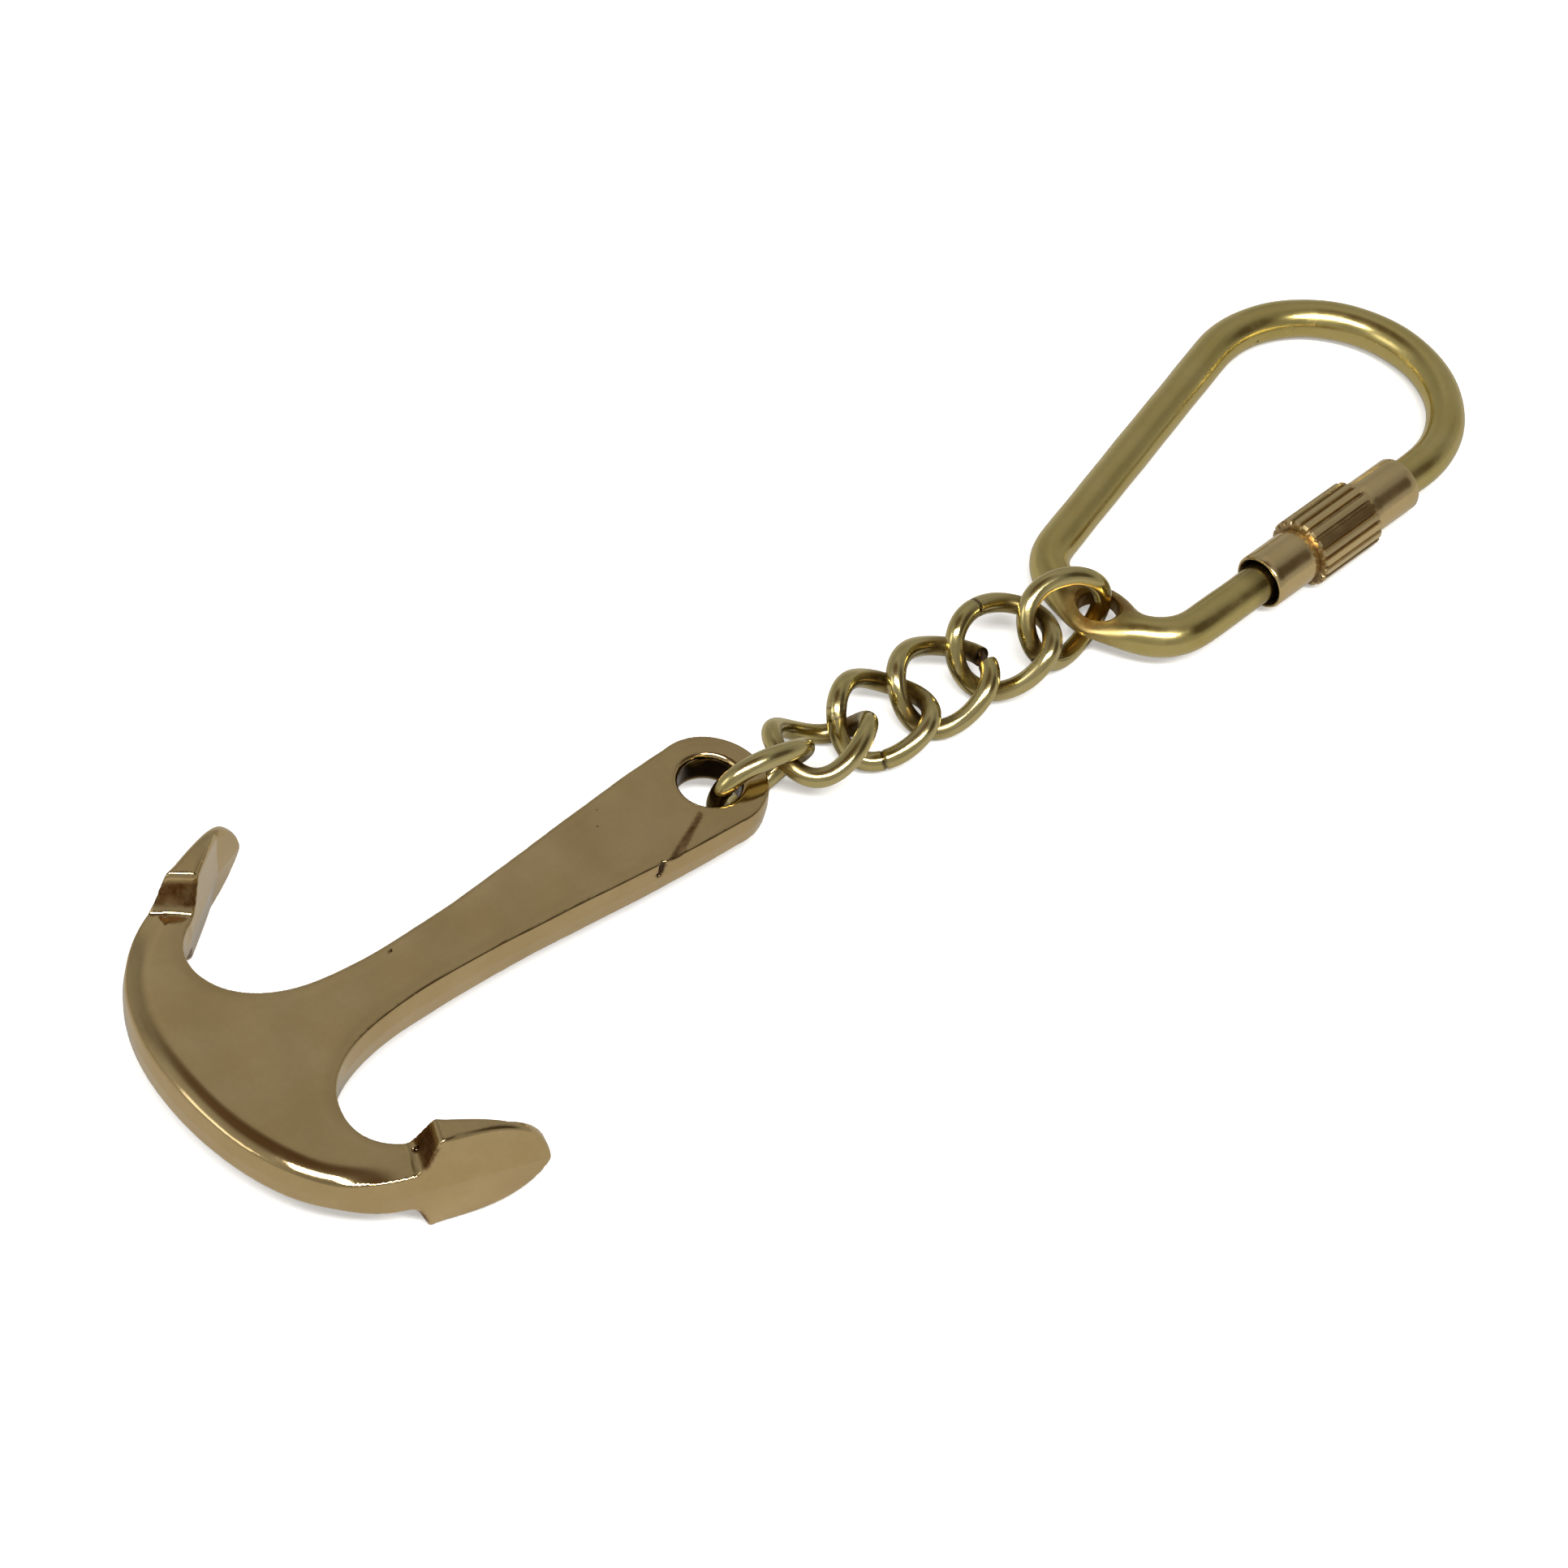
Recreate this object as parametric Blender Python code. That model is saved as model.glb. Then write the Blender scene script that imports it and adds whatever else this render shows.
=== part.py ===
"""Brass keychain bottle opener: a cast anchor, a six-link curb chain and a key loop with a lock sleeve.

Units are metres and +Z is up. The origin lies on the table at the centre of the object's footprint,
and +X runs from the anchor's crown along its shank to the chain. Everything lies as it rests on a table.
"""
import math

import bmesh
import bpy
from mathutils import Euler, Matrix, Vector

MM = 0.001
GAP = 0.33 * MM                      # clearance kept between neighbouring pieces

# Anchor, in its own frame: X along the shank, hole centre at the origin, mid-plane at Z = 0.
HEAD_RADIUS = 4.25 * MM
HOLE_RADIUS = 2.3 * MM
HEAD_HALF_THICKNESS = 1.4 * MM       # at the hole
CROWN_HALF_THICKNESS = 2.05 * MM     # at the crown
CROWN_X = -47.05 * MM
HEAD_HEIGHT = 3.5 * MM               # of the hole's centre: the head rests on link_a's lower wire
SHANK_START = (-0.7, 4.19)           # where the head's arc meets the shank's side, in mm
SHANK_NECK = (-28.6, 2.3)
THROAT = (-39.4, 6.3)
ARM_END_INNER = (-37.4, 11.4)
ARM_END_OUTER = (-39.0, 14.1)
EDGE_CHAMFER = 0.25 * MM

# Flukes: spade-shaped palms that stand across the arms' ends.
FLUKE_HALF_HEIGHT = 4.65 * MM
FLUKE_LENGTH = 9.5 * MM
FLUKE_SHOULDER = 1.3 * MM            # how far the shoulders slope back from the arm's face
FLUKE_ROOT_THICKNESS = 3.05 * MM
FLUKE_THINNING = 0.27                # thickness lost for each unit of length
FLUKE_ANGLE = math.radians(19.0)     # between the palm's outer face and the shank
FLUKE_FULLNESS = 3.5                 # the palm's outline: how long it stays wide,
FLUKE_BLUNTNESS = 0.65               # and how blunt its tip is
FLUKE_PROUD = 0.02 * MM              # keeps the palm's outer face off the arm's own face

# Chain of drawn wire.
WIRE_RADIUS = 0.675 * MM
HOOK_GAP = 0.36 * MM                 # between the wires of two hooked links
OPEN_JOINT_DEG = 16.0                # sprung butt joint of link_d
BUTT_JOINT_DEG = -16.0               # where the wire's two ends meet, from the link's far end
# Each link: (name, half length and half width of its centreline, twist height) in mm. The end links
# are bent a little the other way, so that they stand across the anchor's head and the loop's eye.
LINK_SHAPES = {
    "link_a": (4.0, 2.95, -0.3),
    "link_b": (3.7, 3.25, 1.1),
    "link_c": (3.7, 3.25, 1.1),
    "link_d": (3.7, 3.25, 1.1),
    "link_e": (3.7, 3.25, 1.1),
    "link_f": (3.7, 3.25, -0.5),
}
# How each link lies: (name, heading, dip, roll) in degrees, from the anchor to the key loop. Heading
# turns the link about Z, dip lowers its far end, and roll turns it about its own length.
LINK_LAYOUT = (
    ("link_a", -3, -2, -75),
    ("link_b", 0, 10, -23),
    ("link_c", -9, 3, 15),
    ("link_d", 0, -6, 13),
    ("link_e", -15, -14, 23),
    ("link_f", -7, 12, 67),
)
LINK_A_CENTRE = (3.9 * MM, -1.2 * MM, 3.6 * MM)

# Key loop: a rod bent to a pear shape, in its own frame: X from the base to the round top.
ROD_RADIUS = 1.5 * MM
LOOP_TOP_RADIUS = 9.65 * MM          # centreline of the round top, centred on the origin
LOOP_HALF_ANGLE = math.radians(7.1)
LOOP_BASE_X = -30.3 * MM
LOOP_CORNER_RADIUS = 4.2 * MM
EYE_WIDTH = 5.6 * MM
EYE_THICKNESS = 1.7 * MM
EYE_HOLE_RADIUS = 1.5 * MM
EYE_LENGTH = 4.2 * MM                # half the length over which the rod is flattened
LOOP_CENTRE = (65.04 * MM, 0.27 * MM, 2.05 * MM)
LOOP_HEADING = math.radians(9.3)
LOOP_RISE = math.radians(1.27)       # the eye rests on link_f's lower wire
LOOP_LEAN = math.radians(3.2)        # the sleeve is thicker than the rod, so its side lies higher

# Lock sleeve, measured along its axis from the mouth that faces the eye.
SLEEVE_LENGTH = 16.2 * MM
COLLAR_RADIUS = 2.17 * MM
GRIP_RADIUS = 2.75 * MM
GRIP_START = 4.6 * MM
GRIP_END = 11.2 * MM
SLEEVE_BORE_RADIUS = ROD_RADIUS + GAP
SLEEVE_TOP_X = -3.5 * MM             # top end's place along the loop's own axis
SLEEVE_TOP_OVERLAP = 3.0 * MM        # how far the round top's rod end reaches into the sleeve
ROD_END_GAP = 2.4 * MM               # between the two rod ends, inside the sleeve

WIRE_SIDES = 10
ROD_SIDES = 14

# Places are laid out from the anchor's hole; this moves the origin to the centre of the footprint.
FOOTPRINT_CENTRE_X = 14.535 * MM
LOWEST_POINT = -0.051 * MM
TABLE = Matrix.Translation((-FOOTPRINT_CENTRE_X, 0.0, -LOWEST_POINT))


def clear_scene():
    """Remove every object that the startup file brings."""
    for item in list(bpy.data.objects):
        bpy.data.objects.remove(item, do_unlink=True)


def make_material(name, colour, roughness):
    """Return a metallic material with the given colour and roughness."""
    material = bpy.data.materials.new(name)
    material.use_nodes = True
    shader = material.node_tree.nodes["Principled BSDF"]
    shader.inputs["Base Color"].default_value = (*colour, 1.0)
    shader.inputs["Metallic"].default_value = 1.0
    shader.inputs["Roughness"].default_value = roughness
    return material


def finish_object(name, mesh_builder, material, smooth_deg=35.0):
    """Turn a bmesh into a named object with outward faces and smooth shading."""
    bmesh.ops.recalc_face_normals(mesh_builder, faces=mesh_builder.faces)
    mesh = bpy.data.meshes.new(name)
    mesh_builder.to_mesh(mesh)
    mesh_builder.free()
    mesh.shade_smooth()
    mesh.set_sharp_from_angle(angle=math.radians(smooth_deg))
    item = bpy.data.objects.new(name, mesh)
    bpy.context.scene.collection.objects.link(item)
    if material:
        mesh.materials.append(material)
    return item


def bezier(start, pull_start, pull_end, end, count):
    """Return count points along a cubic Bezier curve, without its last point."""
    points = []
    for step in range(count):
        t = step / count
        weights = ((1 - t) ** 3, 3 * t * (1 - t) ** 2, 3 * t * t * (1 - t), t ** 3)
        corners = (start, pull_start, pull_end, end)
        x = sum(w * p[0] for w, p in zip(weights, corners))
        y = sum(w * p[1] for w, p in zip(weights, corners))
        points.append((x * MM, y * MM))
    return points


def fluke_frame(side):
    """Return the palm's root, its direction and its inward direction, for one side (+1 or -1)."""
    root = Vector((ARM_END_OUTER[0] * MM, side * ARM_END_OUTER[1] * MM, 0.0))
    along = Vector((math.cos(FLUKE_ANGLE), side * math.sin(FLUKE_ANGLE), 0.0))
    inward = Vector((math.sin(FLUKE_ANGLE), -side * math.cos(FLUKE_ANGLE), 0.0))
    return root, along, inward


def anchor_half_outline():
    """Return the outline's left half (Y > 0) from the head's end round to the crown."""
    points = []
    turn = math.atan2(SHANK_START[1], SHANK_START[0])
    head_steps = 10
    for step in range(head_steps):
        angle = turn * step / head_steps
        points.append((HEAD_RADIUS * math.cos(angle), HEAD_RADIUS * math.sin(angle)))
    points += bezier(SHANK_START, (-10.0, 3.95), (-18.0, 2.3), SHANK_NECK, 9)
    points += bezier(SHANK_NECK, (-33.6, 2.3), (-37.9, 3.2), THROAT, 7)
    points += bezier(THROAT, (-40.5, 8.6), (-39.6, 10.6), ARM_END_INNER, 7)
    points += arm_end_points()
    crown = (CROWN_X / MM, 0.0)
    points += bezier(ARM_END_OUTER, (-44.3, 12.4), (CROWN_X / MM, 7.2), crown, 12)
    return points


def arm_end_points():
    """Return the arm's inner end and two points that reach a little way into the fluke."""
    root, along, inward = fluke_frame(1)
    reach = root + along * 1.2 * MM
    inner = reach + inward * 2.4 * MM
    outer = reach + inward * 0.1 * MM
    return [(ARM_END_INNER[0] * MM, ARM_END_INNER[1] * MM), inner.to_2d()[:], outer.to_2d()[:]]


def half_thickness(x):
    """Return the plate's half thickness, which grows in a straight line from head to crown."""
    share = -x / -CROWN_X
    return HEAD_HALF_THICKNESS + share * (CROWN_HALF_THICKNESS - HEAD_HALF_THICKNESS)


def inset_point(points, index, distance):
    """Return outline point index moved inwards by distance; the outline runs anticlockwise."""
    before = Vector(points[index - 1])
    after = Vector(points[(index + 1) % len(points)])
    along = (after - before).normalized()
    inward = Vector((-along.y, along.x))
    return Vector(points[index]) + inward * distance


def build_anchor_plate(material):
    """Build the shank, head, crown and arms as one wedge-shaped plate with chamfered edges."""
    half = anchor_half_outline()
    outline = half + [(CROWN_X, 0.0)] + [(x, -y) for x, y in reversed(half[1:])]
    count = len(outline)
    shape = bmesh.new()
    rings = []
    for inset, side, drop in ((1, -1, 0), (0, -1, 1), (0, 1, 1), (1, 1, 0)):
        ring = []
        for index in range(count):
            point = inset_point(outline, index, inset * EDGE_CHAMFER)
            height = side * (half_thickness(point.x) - drop * EDGE_CHAMFER)
            ring.append(shape.verts.new((point.x, point.y, height)))
        rings.append(ring)
    for lower, upper in zip(rings, rings[1:]):
        for index in range(count):
            follower = (index + 1) % count
            shape.faces.new((lower[index], lower[follower], upper[follower], upper[index]))
    shape.faces.new(reversed(rings[0]))
    shape.faces.new(rings[-1])
    shape.normal_update()
    flat = [face for face in shape.faces if len(face.verts) > 4]
    bmesh.ops.triangulate(shape, faces=flat)
    return finish_object("anchor", shape, material)


def fluke_half_height(distance):
    """Return the palm's half height at a distance from its root."""
    if distance <= FLUKE_SHOULDER:
        root = half_thickness(ARM_END_OUTER[0] * MM) * 0.9
        return root + (FLUKE_HALF_HEIGHT - root) * distance / FLUKE_SHOULDER
    share = (distance - FLUKE_SHOULDER) / (FLUKE_LENGTH - FLUKE_SHOULDER)
    return FLUKE_HALF_HEIGHT * (1 - share ** FLUKE_FULLNESS) ** FLUKE_BLUNTNESS


def fluke_section(distance):
    """Return one cross-section of the palm as (across, height) points, outer face first."""
    thickness = FLUKE_ROOT_THICKNESS - FLUKE_THINNING * distance
    height = fluke_half_height(distance)
    edge = min(0.35 * MM, 0.3 * thickness, 0.4 * height)
    near, far = -FLUKE_PROUD, thickness
    corners = []
    for side in (1, -1):
        corners.append((near, side * (height - edge)))
        corners.append((near + edge, side * height))
        corners.append((far - edge, side * height))
        corners.append((far, side * (height - edge)))
    return corners[:4] + corners[:3:-1]


def build_fluke(name, side):
    """Build one palm as a union operand, for the arm on the given side (+1 or -1)."""
    root, along, inward = fluke_frame(side)
    stations = (0.0, 0.14, 0.32, 0.48, 0.62, 0.74, 0.84, 0.91, 0.96, 0.99)
    shape = bmesh.new()
    rings = []
    for station in stations:
        distance = station * FLUKE_LENGTH
        ring = []
        for across, height in fluke_section(distance):
            place = root + along * distance + inward * across + Vector((0, 0, height))
            ring.append(shape.verts.new(place))
        rings.append(ring)
    bridge_rings(shape, rings, closed=False)
    shape.faces.new(rings[0])
    shape.faces.new(rings[-1])
    shape.normal_update()
    bmesh.ops.triangulate(shape, faces=shape.faces)
    item = finish_object(name, shape, None)
    hide_guide(item)
    return item


def hide_guide(item):
    """Mark an object that only cuts or joins another one."""
    item.hide_render = True
    item.display_type = "WIRE"


def bridge_rings(shape, rings, closed):
    """Join rings of equal size with quads, and the last to the first when closed."""
    count = len(rings[0])
    pairs = list(zip(rings, rings[1:]))
    if closed:
        pairs.append((rings[-1], rings[0]))
    for first, second in pairs:
        for index in range(count):
            follower = (index + 1) % count
            shape.faces.new((first[index], first[follower], second[follower], second[index]))


def add_boolean(item, operand, operation):
    """Add an exact Boolean modifier."""
    modifier = item.modifiers.new(operand.name, "BOOLEAN")
    modifier.operation = operation
    modifier.solver = "EXACT"
    modifier.object = operand


def build_cutter(name, radius, depth, sides):
    """Build a round cutter centred on its own origin, with its axis along Z."""
    shape = bmesh.new()
    bmesh.ops.create_cone(
        shape, cap_ends=True, segments=sides, radius1=radius, radius2=radius, depth=depth
    )
    item = finish_object(name, shape, None)
    hide_guide(item)
    return item


def anchor_placement():
    """Return the anchor's rest matrix: it lies on its flukes and on link_a's lower wire."""
    fluke_reach = -ARM_END_OUTER[0] * MM - FLUKE_SHOULDER
    lean = math.asin((FLUKE_HALF_HEIGHT - HEAD_HEIGHT) / fluke_reach)
    return TABLE @ Matrix.Translation((0.0, 0.0, HEAD_HEIGHT)) @ Matrix.Rotation(lean, 4, "Y")


def build_anchor():
    """Build the one-piece casting and lay it on the table."""
    material = make_material("anchor_cast_brass", (0.46, 0.33, 0.17), 0.2)
    anchor = build_anchor_plate(material)
    hole = build_cutter("anchor_hole_cutter", HOLE_RADIUS, 8 * MM, 24)
    operands = [(build_fluke("fluke_left_form", 1), "UNION")]
    operands.append((build_fluke("fluke_right_form", -1), "UNION"))
    operands.append((hole, "DIFFERENCE"))
    placement = anchor_placement()
    anchor.matrix_world = placement
    for operand, operation in operands:
        operand.matrix_world = placement
        add_boolean(anchor, operand, operation)
    return anchor


def link_matrices():
    """Return each link's rest matrix; every link hooks into the one before it."""
    matrices = {}
    hook = 2 * WIRE_RADIUS + HOOK_GAP
    far_end = None
    for name, heading, dip, roll in LINK_LAYOUT:
        angles = (math.radians(roll), math.radians(dip), math.radians(heading))
        turn = Euler(angles, "XYZ").to_matrix().to_4x4()
        length = turn.col[0].to_3d()
        half_length = LINK_SHAPES[name][0] * MM
        if far_end is None:
            centre = Vector(LINK_A_CENTRE)
        else:
            pull = (previous + length).normalized()
            centre = far_end - pull * hook + length * half_length
        matrices[name] = TABLE @ Matrix.Translation(centre) @ turn
        far_end = centre + length * half_length
        previous = length
    return matrices


def link_centreline(name, angle):
    """Return a point of the link's twisted oval centreline."""
    half_length, half_width, twist = LINK_SHAPES[name]
    x = half_length * math.cos(angle)
    y = half_width * math.sin(angle)
    z = -twist * math.sin(2 * angle)
    return Vector((x, y, z)) * MM


def hinge_points(matrices):
    """Return where each moving piece turns: link_a about its own bow, the rest in the bow before them."""
    names = [row[0] for row in LINK_LAYOUT]
    points = {names[0]: matrices[names[0]] @ link_centreline(names[0], math.pi)}
    for before, name in zip(names, names[1:] + ["key_loop"]):
        points[name] = matrices[before] @ link_centreline(before, 0.0)
    return points


def set_origin(item, point):
    """Move an object's origin to a point of the scene without moving its mesh."""
    local = item.matrix_world.inverted() @ point
    item.data.transform(Matrix.Translation(-local))
    item.matrix_world = item.matrix_world @ Matrix.Translation(local)


def sweep_tube(shape, path, radii, sides, closed):
    """Sweep a round or flattened section along path; radii gives (in plane, across) at each point."""
    rings = []
    count = len(path)
    for index in range(count):
        if closed:
            along = path[(index + 1) % count] - path[index - 1]
        else:
            along = path[min(index + 1, count - 1)] - path[max(index - 1, 0)]
        along.normalize()
        in_plane = Vector((0, 0, 1)).cross(along).normalized()
        across = along.cross(in_plane)
        wide, thick = radii[index]
        ring = []
        for side in range(sides):
            angle = 2 * math.pi * (side + 0.5) / sides
            offset = in_plane * wide * math.cos(angle) + across * thick * math.sin(angle)
            ring.append(shape.verts.new(path[index] + offset))
        rings.append(ring)
    bridge_rings(shape, rings, closed)
    if not closed:
        shape.faces.new(rings[0])
        shape.faces.new(rings[-1])


def build_link(name, matrix, material):
    """Build one chain link; link_d is open at its butt joint."""
    steps = 34
    opening = math.radians(OPEN_JOINT_DEG) if name == "link_d" else 0.0
    joint_angle = math.radians(BUTT_JOINT_DEG)
    path = []
    for step in range(steps):
        share = step / steps if not opening else step / (steps - 1)
        angle = joint_angle + opening / 2 + share * (2 * math.pi - opening)
        path.append(link_centreline(name, angle))
    shape = bmesh.new()
    radii = [(WIRE_RADIUS, WIRE_RADIUS)] * steps
    sweep_tube(shape, path, radii, WIRE_SIDES, closed=not opening)
    link = finish_object(name, shape, material)
    link.matrix_world = matrix
    return link


def loop_side_point(side, x):
    """Return the point of a straight side at x in the loop's frame."""
    y = (LOOP_TOP_RADIUS + x * math.sin(LOOP_HALF_ANGLE)) / math.cos(LOOP_HALF_ANGLE)
    return Vector((x, side * y, 0.0))


def loop_corner_centre(side):
    """Return the centre of the bend between the base and one straight side."""
    x = LOOP_BASE_X + LOOP_CORNER_RADIUS
    inner = LOOP_TOP_RADIUS - LOOP_CORNER_RADIUS + x * math.sin(LOOP_HALF_ANGLE)
    return Vector((x, side * inner / math.cos(LOOP_HALF_ANGLE), 0.0))


def arc_points(centre, radius, start, end, steps):
    """Return points on an arc in the loop's plane."""
    points = []
    for step in range(steps + 1):
        angle = start + (end - start) * step / steps
        points.append(centre + Vector((math.cos(angle), math.sin(angle), 0.0)) * radius)
    return points


def sleeve_frame():
    """Return the sleeve's mouth and its direction, in the loop's frame."""
    upper = loop_side_point(-1, SLEEVE_TOP_X)
    along = Vector((math.cos(LOOP_HALF_ANGLE), -math.sin(LOOP_HALF_ANGLE), 0.0))
    return upper - along * SLEEVE_LENGTH, along


def loop_path():
    """Return the rod's centreline from its lower end, round the base and top, to its upper end."""
    mouth, along = sleeve_frame()
    lower_end = mouth + along * (SLEEVE_LENGTH - SLEEVE_TOP_OVERLAP - ROD_END_GAP)
    upper_end = mouth + along * (SLEEVE_LENGTH - SLEEVE_TOP_OVERLAP)
    quarter = math.pi / 2
    right = loop_corner_centre(-1)
    left = loop_corner_centre(1)
    outward = Vector((-math.sin(LOOP_HALF_ANGLE), -math.cos(LOOP_HALF_ANGLE), 0.0))
    bend_start = right + outward * LOOP_CORNER_RADIUS
    path = [lower_end.lerp(bend_start, step / 4) for step in range(4)]
    path += arc_points(right, LOOP_CORNER_RADIUS, -quarter - LOOP_HALF_ANGLE, -math.pi, 8)
    base_end = left + Vector((-LOOP_CORNER_RADIUS, 0.0, 0.0))
    base_start = path[-1].copy()
    path += [base_start.lerp(base_end, step / 8) for step in range(1, 8)]
    path += arc_points(left, LOOP_CORNER_RADIUS, math.pi, quarter + LOOP_HALF_ANGLE, 8)
    top_start = loop_side_point(1, -LOOP_TOP_RADIUS * math.sin(LOOP_HALF_ANGLE))
    side_start = path[-1].copy()
    path += [side_start.lerp(top_start, step / 4) for step in range(1, 4)]
    path += arc_points(Vector(), LOOP_TOP_RADIUS, quarter + LOOP_HALF_ANGLE, -quarter - LOOP_HALF_ANGLE, 24)
    path.append(upper_end)
    return path


def rod_radii(point):
    """Return the rod's half width and half thickness; it is hammered flat round the eye."""
    if point.x > LOOP_BASE_X + 3.0 * MM:
        return ROD_RADIUS, ROD_RADIUS
    share = min(1.0, abs(point.y) / EYE_LENGTH)
    blend = 0.5 + 0.5 * math.cos(math.pi * share)
    wide = ROD_RADIUS + (EYE_WIDTH / 2 - ROD_RADIUS) * blend
    thick = ROD_RADIUS + (EYE_THICKNESS / 2 - ROD_RADIUS) * blend
    return wide, thick


def loop_placement():
    """Return the key loop's rest matrix."""
    turn = Euler((-LOOP_LEAN, LOOP_RISE, LOOP_HEADING), "XYZ").to_matrix().to_4x4()
    return TABLE @ Matrix.Translation(LOOP_CENTRE) @ turn


def build_key_loop(material):
    """Build the bent rod with its pierced eye."""
    path = loop_path()
    shape = bmesh.new()
    sweep_tube(shape, path, [rod_radii(point) for point in path], ROD_SIDES, closed=False)
    loop = finish_object("key_loop", shape, material)
    loop.matrix_world = loop_placement()
    cutter = build_cutter("eye_hole_cutter", EYE_HOLE_RADIUS, 8 * MM, 20)
    cutter.matrix_world = loop_placement() @ Matrix.Translation((LOOP_BASE_X, 0.0, 0.0))
    add_boolean(loop, cutter, "DIFFERENCE")
    return loop


def build_lock_sleeve(material):
    """Build the sleeve by turning its profile about its axis."""
    lip = 0.25 * MM
    bore = SLEEVE_BORE_RADIUS
    profile = (
        (bore, 0.0), (COLLAR_RADIUS - lip, 0.0), (COLLAR_RADIUS, lip),
        (COLLAR_RADIUS, GRIP_START), (GRIP_RADIUS - lip, GRIP_START), (GRIP_RADIUS, GRIP_START + lip),
        (GRIP_RADIUS, GRIP_END - lip), (GRIP_RADIUS - lip, GRIP_END), (COLLAR_RADIUS, GRIP_END),
        (COLLAR_RADIUS, SLEEVE_LENGTH - lip), (COLLAR_RADIUS - lip, SLEEVE_LENGTH),
        (bore, SLEEVE_LENGTH),
    )
    sides = 28
    shape = bmesh.new()
    rings = []
    for side in range(sides):
        angle = 2 * math.pi * side / sides
        ring = []
        for radius, distance in profile:
            place = (distance, radius * math.cos(angle), radius * math.sin(angle))
            ring.append(shape.verts.new(place))
        rings.append(ring)
    bridge_rings(shape, rings, closed=True)
    sleeve = finish_object("lock_sleeve", shape, material)
    mouth, _ = sleeve_frame()
    turn = Matrix.Rotation(-LOOP_HALF_ANGLE, 4, "Z")
    sleeve.matrix_world = loop_placement() @ Matrix.Translation(mouth) @ turn
    return sleeve


def build_all():
    """Build the whole keychain."""
    clear_scene()
    build_anchor()
    matrices = link_matrices()
    hinges = hinge_points(matrices)
    for name, matrix in matrices.items():
        wire = make_material(name + "_wire", (0.5, 0.42, 0.2), 0.22)
        set_origin(build_link(name, matrix, wire), hinges[name])
    key_loop = build_key_loop(make_material("key_loop_rod", (0.47, 0.4, 0.19), 0.24))
    set_origin(key_loop, hinges["key_loop"])
    build_lock_sleeve(make_material("lock_sleeve_turned", (0.52, 0.38, 0.2), 0.2))


build_all()
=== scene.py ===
import math

import bpy
import numpy as np
from mathutils import Euler, Matrix, Vector


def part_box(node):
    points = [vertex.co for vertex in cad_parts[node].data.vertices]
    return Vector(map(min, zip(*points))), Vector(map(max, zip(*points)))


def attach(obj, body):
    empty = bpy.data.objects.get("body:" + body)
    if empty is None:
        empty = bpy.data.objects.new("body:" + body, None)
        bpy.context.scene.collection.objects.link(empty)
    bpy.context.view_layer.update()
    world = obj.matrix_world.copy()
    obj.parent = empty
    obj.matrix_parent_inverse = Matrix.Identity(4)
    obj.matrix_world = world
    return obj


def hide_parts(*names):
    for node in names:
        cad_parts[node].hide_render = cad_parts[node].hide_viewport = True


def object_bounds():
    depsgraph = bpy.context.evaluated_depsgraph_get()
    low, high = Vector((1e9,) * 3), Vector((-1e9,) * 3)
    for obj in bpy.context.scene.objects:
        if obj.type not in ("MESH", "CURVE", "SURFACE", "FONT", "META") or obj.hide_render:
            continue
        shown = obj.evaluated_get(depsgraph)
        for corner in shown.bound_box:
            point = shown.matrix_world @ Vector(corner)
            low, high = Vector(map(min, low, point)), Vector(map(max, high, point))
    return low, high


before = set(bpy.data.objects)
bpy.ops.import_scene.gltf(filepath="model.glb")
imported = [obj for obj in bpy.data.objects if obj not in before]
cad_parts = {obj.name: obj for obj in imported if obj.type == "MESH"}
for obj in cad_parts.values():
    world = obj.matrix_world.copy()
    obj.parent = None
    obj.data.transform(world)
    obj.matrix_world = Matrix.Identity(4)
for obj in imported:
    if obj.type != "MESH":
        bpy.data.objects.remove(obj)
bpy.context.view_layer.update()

# All shape numbers are in millimetres; points go to metres when a mesh is made.
MM = 0.001
LEVEL = (0.0, 0.0, 1.0)

# ---------- Dimensions ----------
# The CAD has the same ones, apart from its leaner wire, wider eye and thinner palm tips.
HEAD_RADIUS = 4.25
HOLE_RADIUS = 2.3
HEAD_HALF = 1.4
CROWN_HALF = 2.05
CROWN_X = -47.05
SHANK_START = (-0.7, 4.19)
SHANK_NECK = (-28.6, 2.3)
THROAT = (-39.4, 6.3)
ARM_END_OUTER = (-39.0, 14.1)
HEAD_HEIGHT = 3.5

PALM_HALF_HEIGHT = 4.65
PALM_LENGTH = 9.5
PALM_SHOULDER = 1.3
PALM_FULLNESS = 3.5
PALM_BLUNTNESS = 0.65
PALM_ROOT_THICKNESS = 3.05
PALM_THINNING = 0.27
PALM_TIP_THICKNESS = 1.3
PALM_ANGLE = math.radians(19.0)

WIRE_RADIUS = 0.735
LINKS = {
    # name: (half length, half width, twist, heading, dip, roll, butt joint's angle)
    "link_a": (4.0, 2.95, -0.3, -3, -2, -75, 12.0),
    "link_b": (3.7, 3.25, 1.1, 0, 10, -23, 14.0),
    "link_c": (3.7, 3.25, 1.1, -9, 3, 15, 250.0),
    "link_d": (3.7, 3.25, 1.1, 0, -6, 13, -16.0),
    "link_e": (3.7, 3.25, 1.1, -15, -14, 23, 100.0),
    "link_f": (3.7, 3.25, -0.5, -7, 12, 67, 215.0),
}
OPEN_LINK = "link_d"
OPEN_JOINT_DEG = 16.0
FILED_LINK = "link_c"
FILED_AT_DEG = 158.0

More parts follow.
